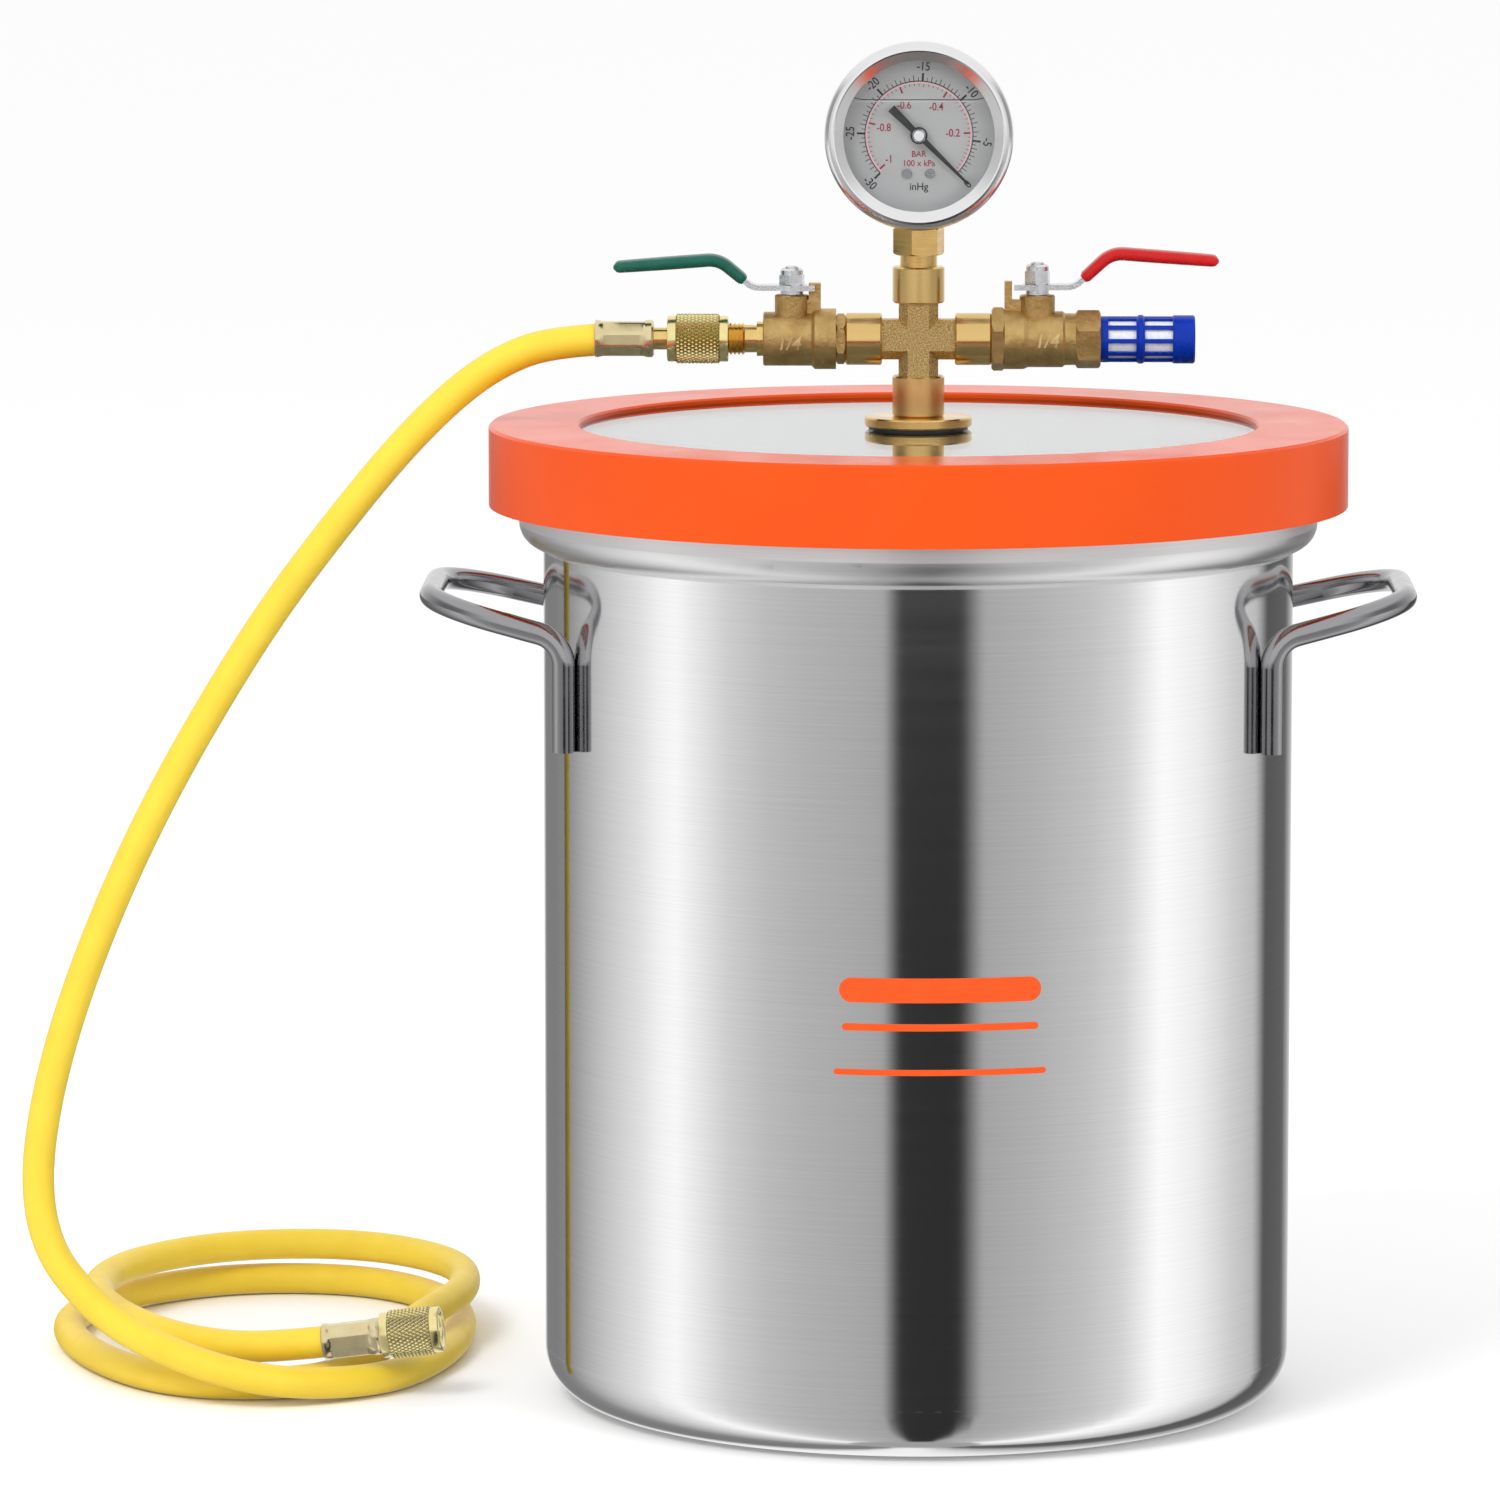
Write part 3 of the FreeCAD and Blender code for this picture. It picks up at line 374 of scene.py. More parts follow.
def frame_on(axis):
    """Two directions square to axis, the first as near to up as it can be."""
    axis = np.array(axis, float)
    axis /= np.linalg.norm(axis)
    up = np.array((0.0, 0.0, 1.0)) if abs(axis[2]) < 0.9 else np.array((0.0, -1.0, 0.0))
    first = up - axis * up.dot(axis)
    first /= np.linalg.norm(first)
    return axis, first, np.cross(axis, first)


def lathe(profile, origin, axis, segments, radius=None):
    """Closed ring-like solid from a loop of (radius, along) points in mm.
    radius(angles, r, u) may change the outer radius with the angle."""
    axis, first, second = frame_on(axis)
    angles = np.arange(segments) * (2 * math.pi / segments)
    verts = []
    for r, u in profile:
        radii = np.full(segments, float(r)) if radius is None else radius(angles, r, u)
        ring = (np.array(origin)[None, :] + axis[None, :] * u
                + (np.cos(angles) * radii)[:, None] * first[None, :]
                + (np.sin(angles) * radii)[:, None] * second[None, :])
        verts.append(ring)
    count = len(profile)
    faces = []
    for i in range(count):
        k = (i + 1) % count
        for j in range(segments):
            m = (j + 1) % segments
            faces.append((i * segments + j, i * segments + m, k * segments + m, k * segments + j))
    return np.concatenate(verts) * MM, faces


# ---- hose: the same route points as the part's, in metres ------------------------
HOSE_ROUTE = [
    (-0.101, 0, 0.3985), (-0.134, 0, 0.3985), (-0.160, 0, 0.3885), (-0.1845, 0, 0.3675),
    (-0.211, 0, 0.337), (-0.250, 0, 0.2855), (-0.2955, 0, 0.206), (-0.327, -0.001, 0.124),
    (-0.3345, -0.002, 0.062), (-0.308, -0.013, 0.029), (-0.270, -0.038, 0.016),
    (-0.236, -0.038, 0.0085), (-0.199, -0.015, 0.006), (-0.1805, 0.034, 0.006),
    (-0.175, 0.090, 0.006), (-0.184, 0.146, 0.006), (-0.219, 0.188, 0.006),
    (-0.275, 0.190, 0.006), (-0.317, 0.151, 0.006), (-0.3325, 0.097, 0.006),
    (-0.320, 0.042, 0.006), (-0.296, -0.003, 0.006), (-0.270, -0.023, 0.006),
    (-0.240, -0.023, 0.006), (-0.216, -0.009, 0.0065), (-0.200, 0.015, 0.016),
    (-0.187, 0.049, 0.020), (-0.174, 0.094, 0.020), (-0.180, 0.150, 0.020),
    (-0.220, 0.190, 0.020), (-0.273, 0.187, 0.020), (-0.310, 0.149, 0.020),
    (-0.321, 0.098, 0.020), (-0.309, 0.046, 0.020), (-0.284, 0.008, 0.018),
    (-0.260, -0.007, 0.0168), (-0.2368, -0.0136, 0.0185), (-0.2033, -0.0171, 0.0231),
]
HOSE_R = 0.006
HOSE_SIDES = 28


def spline_points(points):
    """Points along the route's smooth line."""
    curve = bpy.data.curves.new("route", "CURVE")
    curve.dimensions = "3D"
    spline = curve.splines.new("NURBS")
    spline.points.add(len(points) - 1)
    for place, point in zip(spline.points, points):
        place.co = (*point, 1.0)
    spline.order_u = 3
    spline.use_endpoint_u = True
    spline.resolution_u = 12
    holder = bpy.data.objects.new("route", curve)
    mesh = bpy.data.meshes.new_from_object(holder)
    found = [v.co.copy() for v in mesh.vertices]
    bpy.data.objects.remove(holder)
    bpy.data.curves.remove(curve)
    bpy.data.meshes.remove(mesh)
    return found


def sleeve_faces(rings, sides):
    """Faces between rings of vertices, with a cap at each end."""
    faces = []
    for k in range(rings - 1):
        for j in range(sides):
            m = (j + 1) % sides
            faces.append((k * sides + j, k * sides + m, (k + 1) * sides + m, (k + 1) * sides + j))
    faces.append(tuple(range(sides)))
    faces.append(tuple((rings - 1) * sides + j for j in range(sides)))
    return faces


def tube(name, line, radius, sides, look):
    """Closed tube along a line of points, turning as little as it can."""
    verts = []
    side = None
    for k, point in enumerate(line):
        ahead = line[min(k + 1, len(line) - 1)] - line[max(k - 1, 0)]
        ahead.normalize()
        if side is None:
            side = Vector((0, 1, 0))
        side = (side - ahead * side.dot(ahead)).normalized()
        other = ahead.cross(side)
        for j in range(sides):
            a = 2 * math.pi * j / sides
            verts.append(point + (side * math.cos(a) + other * math.sin(a)) * radius)
    return mesh_piece(name, verts, sleeve_faces(len(line), sides), look)


hose_line = spline_points(HOSE_ROUTE)
hose = tube("hose", hose_line, HOSE_R, HOSE_SIDES, "yellow_hose")
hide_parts("hose_run", "hose_coil")

# ---- hose ends --------------------------------------------------------------------
route_end = np.array(HOSE_ROUTE[-1]) / MM
free_axis = route_end - np.array(HOSE_ROUTE[-2]) / MM
free_axis /= np.linalg.norm(free_axis)
HOSE_IN_FERRULE = 20.0
free_start = route_end - free_axis * HOSE_IN_FERRULE
inlet_start = np.array((-120.6, 0.0, PIPE_Z))
inlet_axis = np.array((1.0, 0.0, 0.0))

# Sizes in mm from here on; places along a fitting are from the hose's side.
FERRULE_LENGTH = 22.0
FERRULE_R = 7.0
FERRULE_BORE_R = 6.03
CRIMP_R = 6.35           # half the distance across the pressed flats
CRIMP_START = 1.7
CRIMP_END = 19.2
NECK_R = 4.15            # hose tail's neck


def crimped(angles, r, u):
    """Eight pressed flats between the ferrule's two round flared ends."""
    if r <= FERRULE_BORE_R:
        return np.full(len(angles), float(r))
    entering = min(max((u - CRIMP_START) / 1.5, 0.0), 1.0)
    leaving = min(max((CRIMP_END - u) / 1.3, 0.0), 1.0)
    pressed = entering * leaving
    eighth = math.pi / 4
    offset = (angles + eighth / 2) % eighth - eighth / 2
    flats = np.minimum(CRIMP_R / np.cos(offset), FERRULE_R - 0.22)
    return r * (1 - pressed) + flats * pressed


def ferrule(name, start, axis, body, replaced):
    """Crimped sleeve with a flared lip at both ends."""
    waist = FERRULE_R - 0.1
    outer = [(6.5, 0.0), (FERRULE_R, 0.3), (FERRULE_R, 1.0)]
    outer += [(waist, u) for u in (CRIMP_START, 2.1, 2.5, 2.9, 3.2)]
    outer += [(waist, 3.2 + 14.7 * k / 12) for k in range(1, 13)]
    outer += [(waist, u) for u in (18.3, 18.7, CRIMP_END)]
    outer += [(FERRULE_R, 19.8), (FERRULE_R, 21.2), (FERRULE_R - 0.5, 21.85),
              (6.2, FERRULE_LENGTH)]
    floor_at = FERRULE_LENGTH - 1.4
    inner = [(NECK_R, FERRULE_LENGTH), (NECK_R, floor_at), (FERRULE_BORE_R, floor_at),
             (FERRULE_BORE_R, 0.0)]
    verts, faces = lathe(outer + inner, start, axis, 96, crimped)
    piece = mesh_piece(name, verts, faces, "brass_pale", body, 24.0)
    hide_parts(replaced)
    return piece


NUT_LENGTH = 22.8
NUT_BAND_R = 8.55        # plain bands before and after the knurling
NUT_RELIEF = 7.2         # depth from the mouth where the thread ends
NUT_SHOULDER = 17.45     # depth of the shoulder that holds the tail's flange
NUT_RELIEF_R = 6.8
THREAD_CREST_R = 6.4
THREAD_ROOT_R = 6.75
THREAD_PITCH = 1.3
THREAD_TURNS = 5
KNURL_R = 9.3
KNURL_DEPTH = 0.75
KNURL_COUNT = 38
KNURL_PITCH = 2.75
KNURL_START = 3.2
KNURL_END = 19.6
KNURL_STEPS = 66


def knurled(angles, r, u):
    """Diamonds between two families of slanting grooves."""
    if r < KNURL_R:
        return np.full(len(angles), float(r))
    one = (KNURL_COUNT * angles / (2 * math.pi) + u / KNURL_PITCH) % 1.0
    two = (KNURL_COUNT * angles / (2 * math.pi) - u / KNURL_PITCH) % 1.0
    ridge = np.minimum(1 - np.abs(2 * one - 1), 1 - np.abs(2 * two - 1))
    ends = min(1.0, (u - KNURL_START) / 0.5, (KNURL_END - u) / 0.5)
    return KNURL_R - KNURL_DEPTH + KNURL_DEPTH * np.minimum(1.0, 1.2 * ridge) * max(ends, 0.0)


def groove_depths(verts, origin, axis):
    """How deep in the knurling each vertex lies, from 0 to 1."""
    spots = verts / MM - origin
    along = spots @ np.array(axis)
    radii = np.linalg.norm(spots - along[:, None] * np.array(axis)[None, :], axis=1)
    on_knurl = (along > KNURL_START) & (along < KNURL_END)
    on_knurl &= radii > KNURL_R - KNURL_DEPTH - 0.01
    return np.where(on_knurl, (KNURL_R - radii) / KNURL_DEPTH, 0.0)


def knurled_nut(name, start, axis, back, body, replaced):
    """Swivel nut whose back face lies this far from the ferrule's start."""
    band = NUT_BAND_R
    mouth = NUT_LENGTH
    neck_hole = NECK_R + 0.3
    outer = [(neck_hole, 0.0), (band - 0.55, 0.0), (band - 0.16, 0.16), (band, 0.55),
             (band, KNURL_START - 0.05)]
    outer += [(KNURL_R, KNURL_START + (KNURL_END - KNURL_START) * k / KNURL_STEPS)
              for k in range(KNURL_STEPS + 1)]
    outer += [(band, KNURL_END + 0.05), (band, mouth - 0.5), (band - 0.15, mouth - 0.15),
              (band - 0.5, mouth)]
    bore = [(THREAD_ROOT_R, mouth), (THREAD_CREST_R, mouth - 0.35)]
    for k in range(THREAD_TURNS):
        u = mouth - 0.6 - THREAD_PITCH * k
        bore += [(THREAD_CREST_R, u), (THREAD_ROOT_R, u - THREAD_PITCH / 2)]
    bore += [(NUT_RELIEF_R, mouth - NUT_RELIEF), (NUT_RELIEF_R, mouth - NUT_SHOULDER),
             (neck_hole, mouth - NUT_SHOULDER)]
    origin = np.array(start) + np.array(axis) * back
    verts, faces = lathe(outer + bore, origin, axis, KNURL_COUNT * 8, knurled)
    piece = mesh_piece(name, verts, faces, "brass_nut", body, 35.0)
    # The groove depth drives the painted shade in the knurling's grooves.
    groove = piece.data.attributes.new("groove", "FLOAT", "POINT")
    groove.data.foreach_set("value", groove_depths(verts, origin, axis).astype(np.float32))
    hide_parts(replaced)
    return piece


ferrule("inlet_crimped_ferrule", inlet_start, inlet_axis, "lid", "inlet_ferrule")
free_crimp = ferrule("free_crimped_ferrule", free_start, free_axis, "pot", "free_ferrule")
knurled_nut("inlet_swivel_nut", inlet_start, inlet_axis, 27.0, "inlet_nut", "inlet_knurled_nut")
free_nut = knurled_nut("free_swivel_nut", free_start, free_axis, 22.4, "free_nut",
                       "free_knurled_nut")
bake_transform(hose)

# The coil and its fitting are kept out of the wall's reflections, as in the photo.
for piece in (hose, free_crimp, free_nut, NODES["free_hose_tail"], NODES["free_nut_seal"]):
    piece.visible_glossy = False

# ---- gauge dial print ---------------------------------------------------------------
PRINT_BACK = -8.803      # y of the ink's back and front faces
PRINT_FRONT = -8.86
ARC_STEPS = 120
NARROW = 0.85            # width of the scales' digits against the font's
NARROW_WORDS = 0.95
BOLD = 0.011             # outline growth as a share of the letter size


def strip_faces(base, steps):
    """Faces of a bent bar with four vertices at each of its steps."""
    faces = []
    for k in range(steps):
        p = base + 4 * k
        q = p + 4
        for i, j in ((0, 1), (1, 3), (3, 2), (2, 0)):
            faces.append((p + i, p + j, q + j, q + i))
    for p in (base, base + 4 * steps):
        faces.append((p, p + 1, p + 3, p + 2))
    return faces


class Print:
    """Flat closed shapes in one plane of the dial, gathered into one mesh."""

    def __init__(self, back=PRINT_BACK, front=PRINT_FRONT):
        self.verts = []
        self.faces = []
        self.back = back
        self.front = front

    def prism(self, points):
        """Thin plate with this outline, given as (x, z) from the dial's centre."""
        base = len(self.verts)
        count = len(points)
        for y in (self.back, self.front):
            self.verts += [(x * MM, y * MM, (DIAL_Z + z) * MM) for x, z in points]
        self.faces.append(tuple(base + k for k in range(count)))
        self.faces.append(tuple(base + count + k for k in range(count)))
        for k in range(count):
            m = (k + 1) % count
            self.faces.append((base + k, base + m, base + count + m, base + count + k))

    def tick(self, angle, start, end, width):
        """Radial mark between two radii."""
        a = math.radians(angle)
        along = np.array((math.cos(a), math.sin(a)))
        side = np.array((-math.sin(a), math.cos(a))) * width / 2
        self.prism([tuple(along * start - side), tuple(along * end - side),
                    tuple(along * end + side), tuple(along * start + side)])

    def arc(self, inner, outer, start, end):
        """Band between two radii, from one angle to another."""
        angles = [math.radians(start + (end - start) * k / ARC_STEPS)
                  for k in range(ARC_STEPS + 1)]
        base = len(self.verts)
        for a in angles:
            for y in (self.back, self.front):
                for r in (inner, outer):
                    self.verts.append((r * math.cos(a) * MM, y * MM,
                                       (DIAL_Z + r * math.sin(a)) * MM))
        self.faces += strip_faces(base, ARC_STEPS)

    def text(self, words, size, x, z, turn=0.0, narrow=NARROW):
        """Digits and unit letters, centred on (x, z)."""
        a = math.radians(turn)
        depth = (self.back - self.front) / 2
        middle = (self.back + self.front) / 2
        flat, faces = letter_mesh(words, size, depth)
        base = len(self.verts)
        for u, v, w in flat:
            u *= narrow
            px = x + u * math.cos(a) - v * math.sin(a)
            pz = z + u * math.sin(a) + v * math.cos(a)
            self.verts.append((px * MM, (middle - w) * MM, (DIAL_Z + pz) * MM))
        self.faces += [tuple(base + k for k in face) for face in faces]

    def piece(self, name, look, slot):
        return mesh_piece(name, self.verts, self.faces, look, "lid")


def letter_mesh(words, size, depth):
    """Vertices in mm and faces of solid letters, x right, y up, z towards the reader."""
    data = bpy.data.curves.new("letters", "FONT")
    data.body = words
    data.size = size
    data.align_x = "CENTER"
    data.align_y = "CENTER"
    data.extrude = depth
    data.offset = size * BOLD
    data.resolution_u = 4
    holder = bpy.data.objects.new("letters", data)
    mesh = bpy.data.meshes.new_from_object(holder)
    solid = bmesh.new()
    solid.from_mesh(mesh)
    bmesh.ops.remove_doubles(solid, verts=solid.verts, dist=0.0001)
    solid.verts.index_update()
    flat = [tuple(v.co) for v in solid.verts]
    faces = [tuple(v.index for v in f.verts) for f in solid.faces]
    solid.free()
    bpy.data.objects.remove(holder)
    bpy.data.curves.remove(data)
    bpy.data.meshes.remove(mesh)
    return flat, faces


def mercury_angle(value):
    """Direction of an inches-of-mercury reading, in degrees above the right."""
    return -45.0 + value / 5 * 39.0 if value < 5 else -6.0 + (value - 5) / 5 * 46.1


def bar_angle(value):
    """The same for a reading in bar."""
    return -45.0 + value / 0.2 * 47.5 if value < 0.2 else 2.5 + (value - 0.2) / 0.2 * 54.6


# Radii in mm. The outer scale's marks grow outwards, the inner scale's inwards.
MERCURY_MARKS = 20.2
MERCURY_LONG = 23.0
MERCURY_HALFWAY = 22.2
MERCURY_SHORT = 21.4
BAR_MARKS = 19.1
BAR_LONG = 16.6
BAR_HALFWAY = 17.8
BAR_SHORT = 18.2
NUMBER_R = 25.4
LAST_NUMBER_TURN = -45.4 # the last number is turned the other way up from the rest

black = Print()
red = Print()
pink = Print()
for half in range(61):
    angle = mercury_angle(half / 2)
    if half % 10 == 0:
        black.tick(angle, MERCURY_MARKS, MERCURY_LONG, 0.75)
    else:
        end = MERCURY_HALFWAY if half % 2 == 0 else MERCURY_SHORT
        black.tick(angle, MERCURY_MARKS, end, 0.27)
for step in range(51):
    angle = bar_angle(step / 50)
    if step % 10 == 0:
        red.tick(angle, BAR_LONG, BAR_MARKS, 0.65)
    else:
        red.tick(angle, BAR_HALFWAY if step % 5 == 0 else BAR_SHORT, BAR_MARKS, 0.24)
black.arc(19.85, MERCURY_MARKS, mercury_angle(0), mercury_angle(30))
pink.arc(19.15, 19.6, mercury_angle(0), mercury_angle(30))
for number in range(0, 35, 5):
    angle = mercury_angle(number)
    place = NUMBER_R * np.array((math.cos(math.radians(angle)), math.sin(math.radians(angle))))
    turn = LAST_NUMBER_TURN if number == 30 else angle - 90
    black.text(str(-number), 4.5, place[0], place[1], turn)
for words, x, z in (("-0.2", 12.6, 0.7), ("-0.4", 6.4, 10.4), ("-0.6", -5.5, 11.0),
                    ("-0.8", -13.0, 2.7), ("-1", -11.0, -9.0)):
    red.text(words, 4.1, x, z)
red.text("BAR", 3.2, 0, -7.1, narrow=NARROW_WORDS)
red.text("100 x kPa", 3.2, 0, -10.5, narrow=NARROW_WORDS)
black.text("inHg", 3.9, 0, -19.2, narrow=NARROW_WORDS)
black.piece("dial_black_print", "black_paint", "black_paint")
red.piece("dial_red_print", "print_red", "dial_white")
pink.piece("dial_pink_arc", "print_pink", "dial_white")


CASE_INSIDE_R = 27.9
CLIMB = 5.0              # how near the case the surface begins to climb


def liquid_edge(name, z, thick, lift, look):
    """A painted strip for the filling's surface seen through the lens, climbing a little at the
    case.
    """
    line = Print(-14.3, -14.6)
    half = math.sqrt(CASE_INSIDE_R ** 2 - z ** 2) - 0.15
    xs = [half * (2 * k / 40 - 1) for k in range(41)]
    level = [z + lift * max(0.0, (abs(x) - half + CLIMB) / CLIMB) ** 2 for x in xs]
    line.prism([(x, h) for x, h in zip(xs, level)]
               + [(x, h - thick) for x, h in reversed(list(zip(xs, level)))])
    return line.piece(name, look, "glass")


# The filling's surface line is painted: a dark strip of painted shade and a pale strip of painted
# highlight.
liquid_edge("gauge_liquid_edge", 13.6, 0.34, 0.8, "liquid_painted_shade")
liquid_edge("gauge_liquid_glint", 12.9, 0.26, -0.3, "liquid_glint")


# ---- valve grips and cast marks ------------------------------------------------------
GRIP_BARE = 0.24         # share of the bar's first straight left bare
GRIP_BEND = 11.0         # radius that sets how long the bend is
GRIP_TIP = 3.4           # how far the vinyl goes past the bar's end
GRIP_WIDE = 5.5          # half width
GRIP_THICK = 2.2         # half thickness
GRIP_SIDES = 28


def unit(vector):
    return vector / np.linalg.norm(vector)


def grip_line(points):
    """Stations along the bar: straight, bend, straight.  Points are (out, up) in mm."""
    start, corner, tip = [np.array(p, float) for p in points]
    first = start + (corner - start) * GRIP_BARE
    before = unit(corner - start)
    after = unit(tip - corner)
    turn = math.acos(float(before.dot(after)))
    cut = GRIP_BEND * math.tan(turn / 2)
    bend_start = corner - before * cut
    bend_end = corner + after * cut
    end = tip + after * GRIP_TIP
    stations = [first + (bend_start - first) * k / 8 for k in range(9)]
    for k in range(1, 13):
        t = k / 12
        stations.append(bend_start * (1 - t) ** 2 + 2 * corner * t * (1 - t) + bend_end * t * t)
    stations += [bend_end + (end - bend_end) * k / 30 for k in range(1, 31)]
    return stations


def grip(name, body, replaced, look, stem_x, out, points):
    """Dipped vinyl sleeve: a soft-cornered section swept over the bar's outer part."""
    stations = grip_line(points)
    steps = [float(np.linalg.norm(q - p)) for p, q in zip(stations, stations[1:])]
    lengths = np.cumsum([0.0] + steps)
    total = lengths[-1]
    verts = []
    for k, place in enumerate(stations):
        ahead = unit(stations[min(k + 1, len(stations) - 1)] - stations[max(k - 1, 0)])
        up = np.array((-ahead[1], ahead[0]))
        near = min(1.0, lengths[k] / 1.2)
        far = min(1.0, (total - lengths[k]) / 2.6)
        rounding = math.sqrt(max(0.0, 1 - (1 - far) ** 2))
        size = (0.72 + 0.28 * near) * (0.30 + 0.70 * rounding)
        swell = 1.0 + 0.10 * math.sin(math.pi * lengths[k] / total)
        for side in range(GRIP_SIDES):
            t = 2 * math.pi * side / GRIP_SIDES
            c, d = math.cos(t), math.sin(t)
            wide = GRIP_WIDE * math.copysign(abs(c) ** 0.55, c) * (0.55 + 0.45 * size)
            thick = GRIP_THICK * swell * math.copysign(abs(d) ** 0.7, d)
            at = place + up * thick * size
            verts.append(((stem_x + out * at[0]) * MM, wide * MM, (PIPE_Z + at[1]) * MM))
    piece = mesh_piece(name, verts, sleeve_faces(len(stations), GRIP_SIDES), look, body, 50.0)
    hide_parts(replaced)
    return piece


grip("inlet_grip", "inlet_valve", "inlet_lever_sleeve", "green_grip", -47.2, -1.0,
     [(14.6, 19.2), (27.2, 29.6), (63.0, 26.9)])
grip("vent_grip", "vent_valve", "vent_lever_sleeve", "red_grip", 44.2, 1.0,
     [(13.8, 19.6), (27.6, 32.2), (64.0, 29.5)])

MARK_SIZE = 7.0
MARK_PROUD = 0.5
MARK_SLANT = 0.18


def cast_mark(name, centre_x, centre_z, barrel_r):
    """Pipe size cast on the front of a valve's barrel."""
    flat, faces = letter_mesh("1/4", MARK_SIZE, MARK_PROUD)
    verts = []
    for u, v, w in flat:
        a = (v + centre_z - PIPE_Z) / barrel_r
        r = barrel_r + w
        verts.append(((centre_x + u + MARK_SLANT * v) * MM, -r * math.cos(a) * MM,
                      (PIPE_Z + r * math.sin(a)) * MM))
    return mesh_piece(name, verts, faces, "brass_raised", "lid")


cast_mark("inlet_size_mark", -47.9, 397.4, 10.05)
cast_mark("vent_size_mark", 48.0, 398.4, 10.45)


# ---- plain orange bars on the wall, in the place of the maker's print ------------------
BAR_R = 140.02           # the wall's outside and a hair
BAR_INK = 0.05
BAR_CENTRE_X = 8.7
BAR_STEPS = 48


def wall_bar(name, z, width, height):
    """Thin rounded bar that follows the pot's wall."""
    verts = []
    for k in range(BAR_STEPS + 1):
        s = -math.cos(math.pi * k / BAR_STEPS) * width / 2
        past = max(0.0, abs(s) - (width / 2 - height / 2)) / (height / 2)
        half = height / 2 * math.sqrt(max(0.0, 1 - past * past)) + 0.01
        a = (BAR_CENTRE_X + s) / BAR_R
        for r in (BAR_R, BAR_R + BAR_INK):
            for side in (-1, 1):
                verts.append((r * math.sin(a) * MM, -r * math.cos(a) * MM, (z + side * half) * MM))
    return mesh_piece(name, verts, strip_faces(0, BAR_STEPS), "print_orange", "pot")


wall_bar("wall_print_wide_bar", 174.7, 74.0, 9.0)
wall_bar("wall_print_middle_bar", 161.2, 72.0, 2.6)
wall_bar("wall_print_thin_bar", 144.7, 78.0, 2.2)

# ---- studio -----------------------------------------------------------------------
world = bpy.data.worlds.new("studio")
bpy.context.scene.world = world
world.use_nodes = True
world.node_tree.nodes["Background"].inputs["Color"].default_value = (1.0, 1.0, 1.0, 1.0)
world.node_tree.nodes["Background"].inputs["Strength"].default_value = 1.0


def stage_mesh(name, verts, faces, mat):
    mesh = bpy.data.meshes.new(name)
    mesh.from_pydata(verts, [], faces)
    mesh.materials.append(mat)
    piece = bpy.data.objects.new(name, mesh)
    bpy.context.scene.collection.objects.link(piece)
    return piece


def only_in_reflections(piece):
    piece.visible_camera = False
    piece.visible_diffuse = False
    piece.visible_shadow = False
    piece.visible_transmission = False
    piece.visible_volume_scatter = False


floor_mat = bpy.data.materials.new("floor_white")
floor_mat.use_nodes = True
floor_bsdf = floor_mat.node_tree.nodes["Principled BSDF"]
floor_bsdf.inputs["Base Color"].default_value = (0.97, 0.97, 0.97, 1.0)
floor_bsdf.inputs["Roughness"].default_value = 0.9
floor_bsdf.inputs["Specular IOR Level"].default_value = 0.0
FLOOR = 12.0             # half its width
FLOOR_Z = -0.0002
floor_corners = [(FLOOR * i, FLOOR * j, FLOOR_Z) for i, j in ((-1, -1), (1, -1), (1, 1), (-1, 1))]
floor = stage_mesh("floor", floor_corners, [(0, 1, 2, 3)], floor_mat)
floor.visible_glossy = False

# Round light tent that only reflections see: brightness by direction round the pot,
# in degrees from the front towards the right.
TENT = [
    (-180, 1.0), (-171, 0.95), (-162, 0.22), (-146, 0.22), (-134, 0.27),
    (-110, 0.60), (-92, 0.84), (-84, 1.00), (-77, 1.08), (-70, 0.94), (-58, 0.70),
    (-46, 0.57), (-34, 0.50), (-16, 0.44), (-9.8, 0.41), (-7.6, 0.20), (-5.2, 0.032),
    (11, 0.028), (13.4, 0.04), (16.4, 0.21), (19.5, 0.42), (35, 0.49), (52, 0.60),
    (64, 0.74), (71, 0.93), (78, 1.11), (93, 0.97), (110, 0.70), (124, 0.56),
    (132, 0.10), (152, 0.13),
]
# Above the pot's reflections the tent is brighter, for the fittings and the gauge.
TENT_HIGH = [
    (-180, 1.0), (-150, 0.95), (-120, 0.62), (-95, 0.30), (-70, 0.36), (-42, 0.85),
    (-20, 1.05), (20, 1.05), (42, 0.85), (70, 0.36), (95, 0.30), (120, 0.62), (150, 0.95),
]
tent_mat = bpy.data.materials.new("tent_light")
tent_mat.use_nodes = True
tree = tent_mat.node_tree
tree.nodes.clear()
coords = tree.nodes.new("ShaderNodeTexCoord")
split = tree.nodes.new("ShaderNodeSeparateXYZ")
tree.links.new(coords.outputs["Object"], split.inputs["Vector"])
flip = tree.nodes.new("ShaderNodeMath")
flip.operation = "MULTIPLY"
flip.inputs[1].default_value = -1.0
tree.links.new(split.outputs["Y"], flip.inputs[0])
turn = tree.nodes.new("ShaderNodeMath")
turn.operation = "ARCTAN2"
tree.links.new(split.outputs["X"], turn.inputs[0])
tree.links.new(flip.outputs["Value"], turn.inputs[1])
share = tree.nodes.new("ShaderNodeMapRange")
share.inputs["From Min"].default_value = -math.pi
share.inputs["From Max"].default_value = math.pi
tree.links.new(turn.outputs["Value"], share.inputs["Value"])


def band_ramp(table):
    ramp = tree.nodes.new("ShaderNodeValToRGB")
    stops = ramp.color_ramp.elements
    while len(stops) > 1:
        stops.remove(stops[-1])
    for k, (angle, value) in enumerate(table):
        stop = stops[0] if k == 0 else stops.new((angle + 180) / 360)
        stop.position = (angle + 180) / 360
        stop.color = (value, value, value, 1.0)
    last = stops.new(1.0)
    last.color = (table[0][1], table[0][1], table[0][1], 1.0)
    tree.links.new(share.outputs["Result"], ramp.inputs["Fac"])
    return ramp.outputs["Color"]


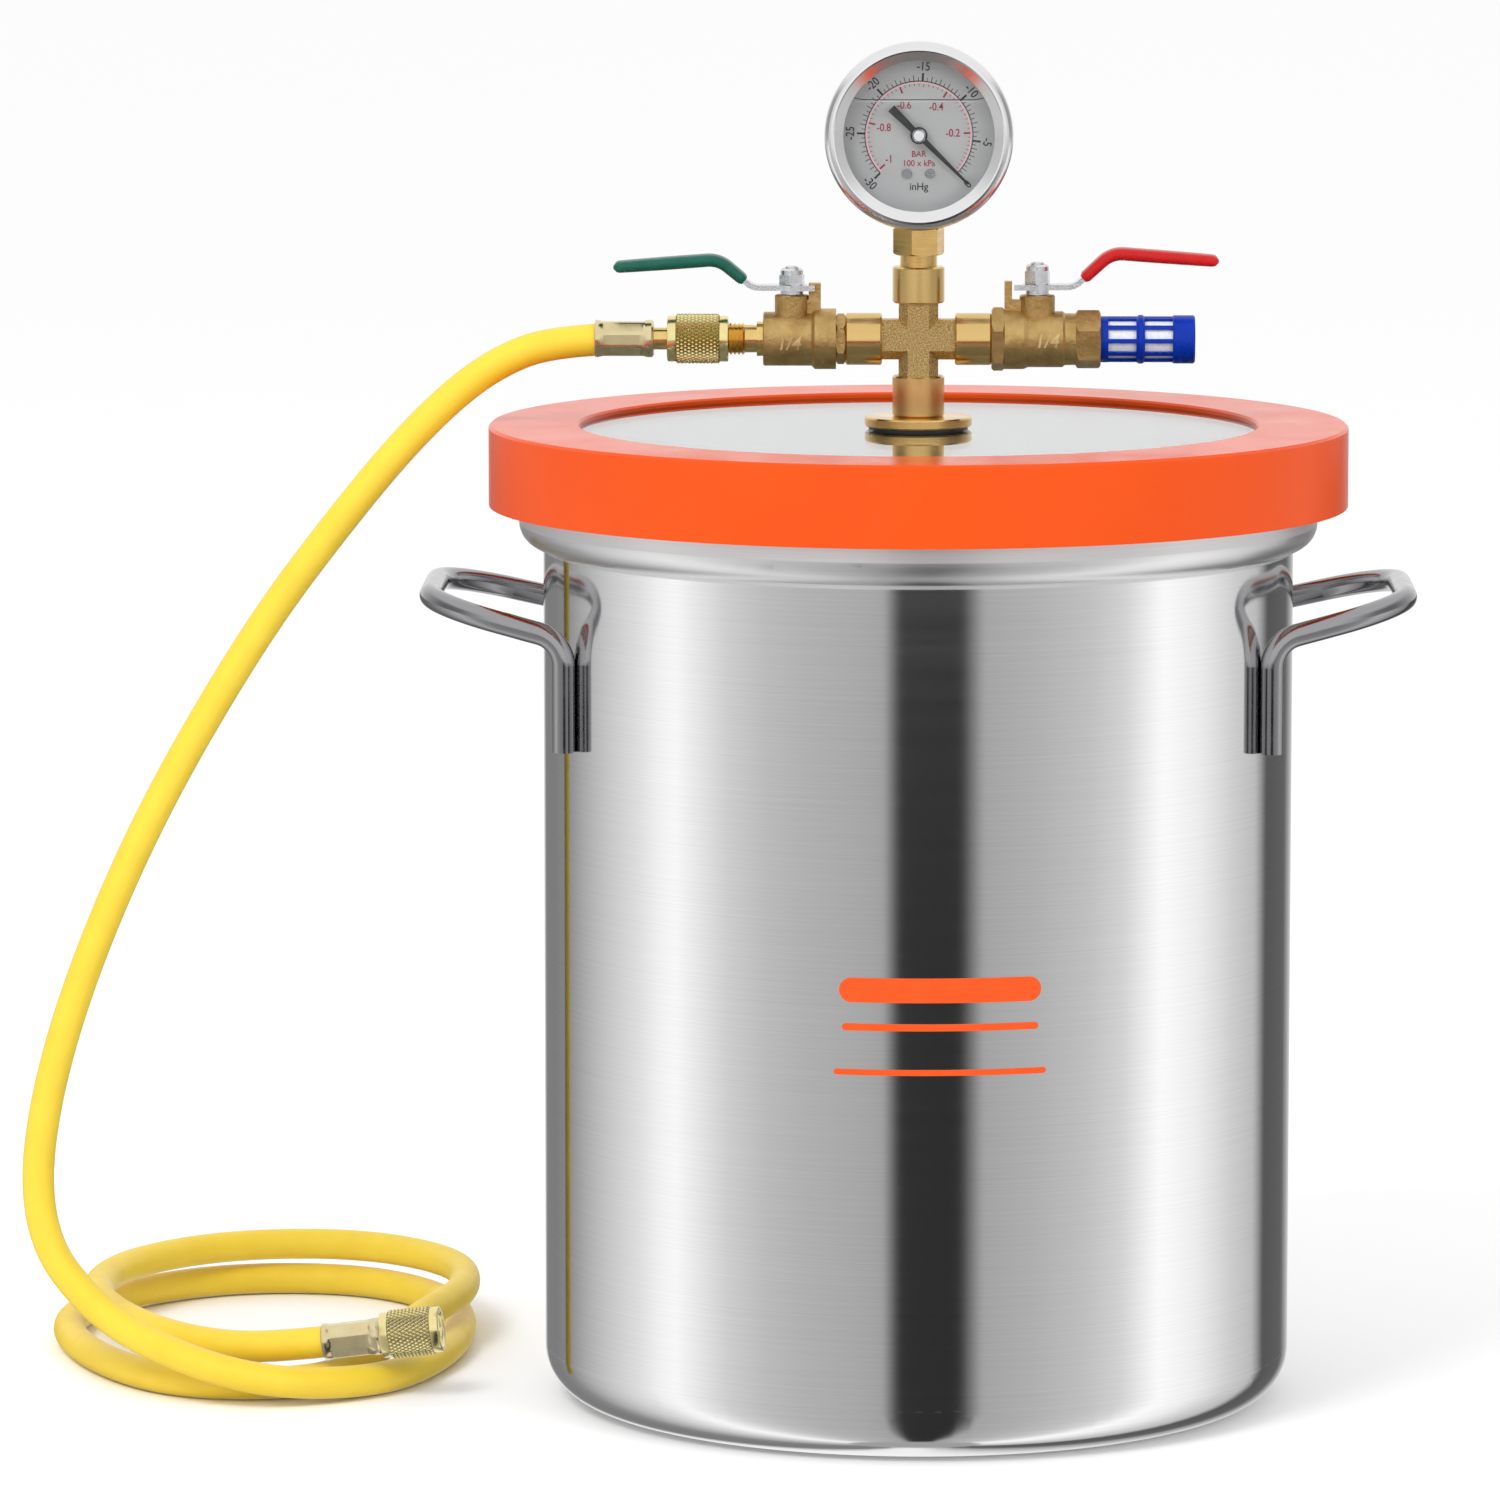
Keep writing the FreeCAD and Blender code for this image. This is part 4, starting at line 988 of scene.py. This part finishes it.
def by_height(low, high, below, above):
    """Runs from one colour to another between two heights."""
    rise = tree.nodes.new("ShaderNodeMapRange")
    rise.interpolation_type = "SMOOTHSTEP"
    rise.inputs["From Min"].default_value = low
    rise.inputs["From Max"].default_value = high
    tree.links.new(split.outputs["Z"], rise.inputs["Value"])
    mix = tree.nodes.new("ShaderNodeMix")
    mix.data_type = "RGBA"
    tree.links.new(rise.outputs["Result"], mix.inputs[0])
    for socket, colour in ((mix.inputs[6], below), (mix.inputs[7], above)):
        if isinstance(colour, float):
            socket.default_value = (colour, colour, colour, 1.0)
        else:
            tree.links.new(colour, socket)
    return mix.outputs[2]


TENT_R = 2.2
TENT_SIDES = 180
TENT_BOTTOM = -12.0
TENT_TOP = 3.0
PIT = 0.40               # brightness of the tent's closed bottom

walls = by_height(0.17, 0.23, band_ramp(TENT), band_ramp(TENT_HIGH))
walls = by_height(1.2, 2.2, walls, 1.0)
tent_colour = by_height(TENT_BOTTOM + 0.1, TENT_BOTTOM + 0.2, PIT, walls)
glow = tree.nodes.new("ShaderNodeEmission")
tree.links.new(tent_colour, glow.inputs["Color"])
out = tree.nodes.new("ShaderNodeOutputMaterial")
tree.links.new(glow.outputs["Emission"], out.inputs["Surface"])
ring_points = [(TENT_R * math.cos(2 * math.pi * k / TENT_SIDES),
                TENT_R * math.sin(2 * math.pi * k / TENT_SIDES)) for k in range(TENT_SIDES)]
tent_faces = []
for k in range(TENT_SIDES):
    m = (k + 1) % TENT_SIDES
    tent_faces.append((k, m, TENT_SIDES + m, TENT_SIDES + k))
    tent_faces.append((k, 2 * TENT_SIDES, m))
tent = stage_mesh("tent", [(x, y, TENT_BOTTOM) for x, y in ring_points]
                  + [(x, y, TENT_TOP) for x, y in ring_points] + [(0, 0, TENT_BOTTOM)],
                  tent_faces, tent_mat)
only_in_reflections(tent)

# Thin yellow rod only reflections see: the line near the left edge of the pot's wall.
ROD_X = -0.149
ROD_Y = -0.032
ROD_R = 0.0022
ROD_SIDES = 12
ROD_ENDS = (0.008, 0.325)
rod_verts = []
for z in ROD_ENDS:
    for k in range(ROD_SIDES):
        a = 2 * math.pi * k / ROD_SIDES
        rod_verts.append((ROD_X + ROD_R * math.cos(a), ROD_Y + ROD_R * math.sin(a), z))
rod_faces = [(k, (k + 1) % ROD_SIDES, ROD_SIDES + (k + 1) % ROD_SIDES, ROD_SIDES + k)
             for k in range(ROD_SIDES)]
rod = stage_mesh("yellow_line", rod_verts, rod_faces,
                 plain("yellow_line", (0.30, 0.21, 0.012), (0.27, 0.19, 0.010), 0.6))
only_in_reflections(rod)


def area_light(name, place, target, size, watts):
    data = bpy.data.lights.new(name, "AREA")
    data.shape = "DISK"
    data.size = size
    data.energy = watts
    lamp = bpy.data.objects.new(name, data)
    bpy.context.scene.collection.objects.link(lamp)
    lamp.location = place
    lamp.rotation_euler = (Vector(target) - Vector(place)).to_track_quat("-Z", "Y").to_euler()
    lamp.visible_glossy = False
    return lamp


area_light("key", (-1.1, -1.6, 2.0), (0, 0, 0.2), 1.0, 26.0)
area_light("fill", (1.5, -1.7, 1.2), (0, 0, 0.2), 1.2, 10.0)
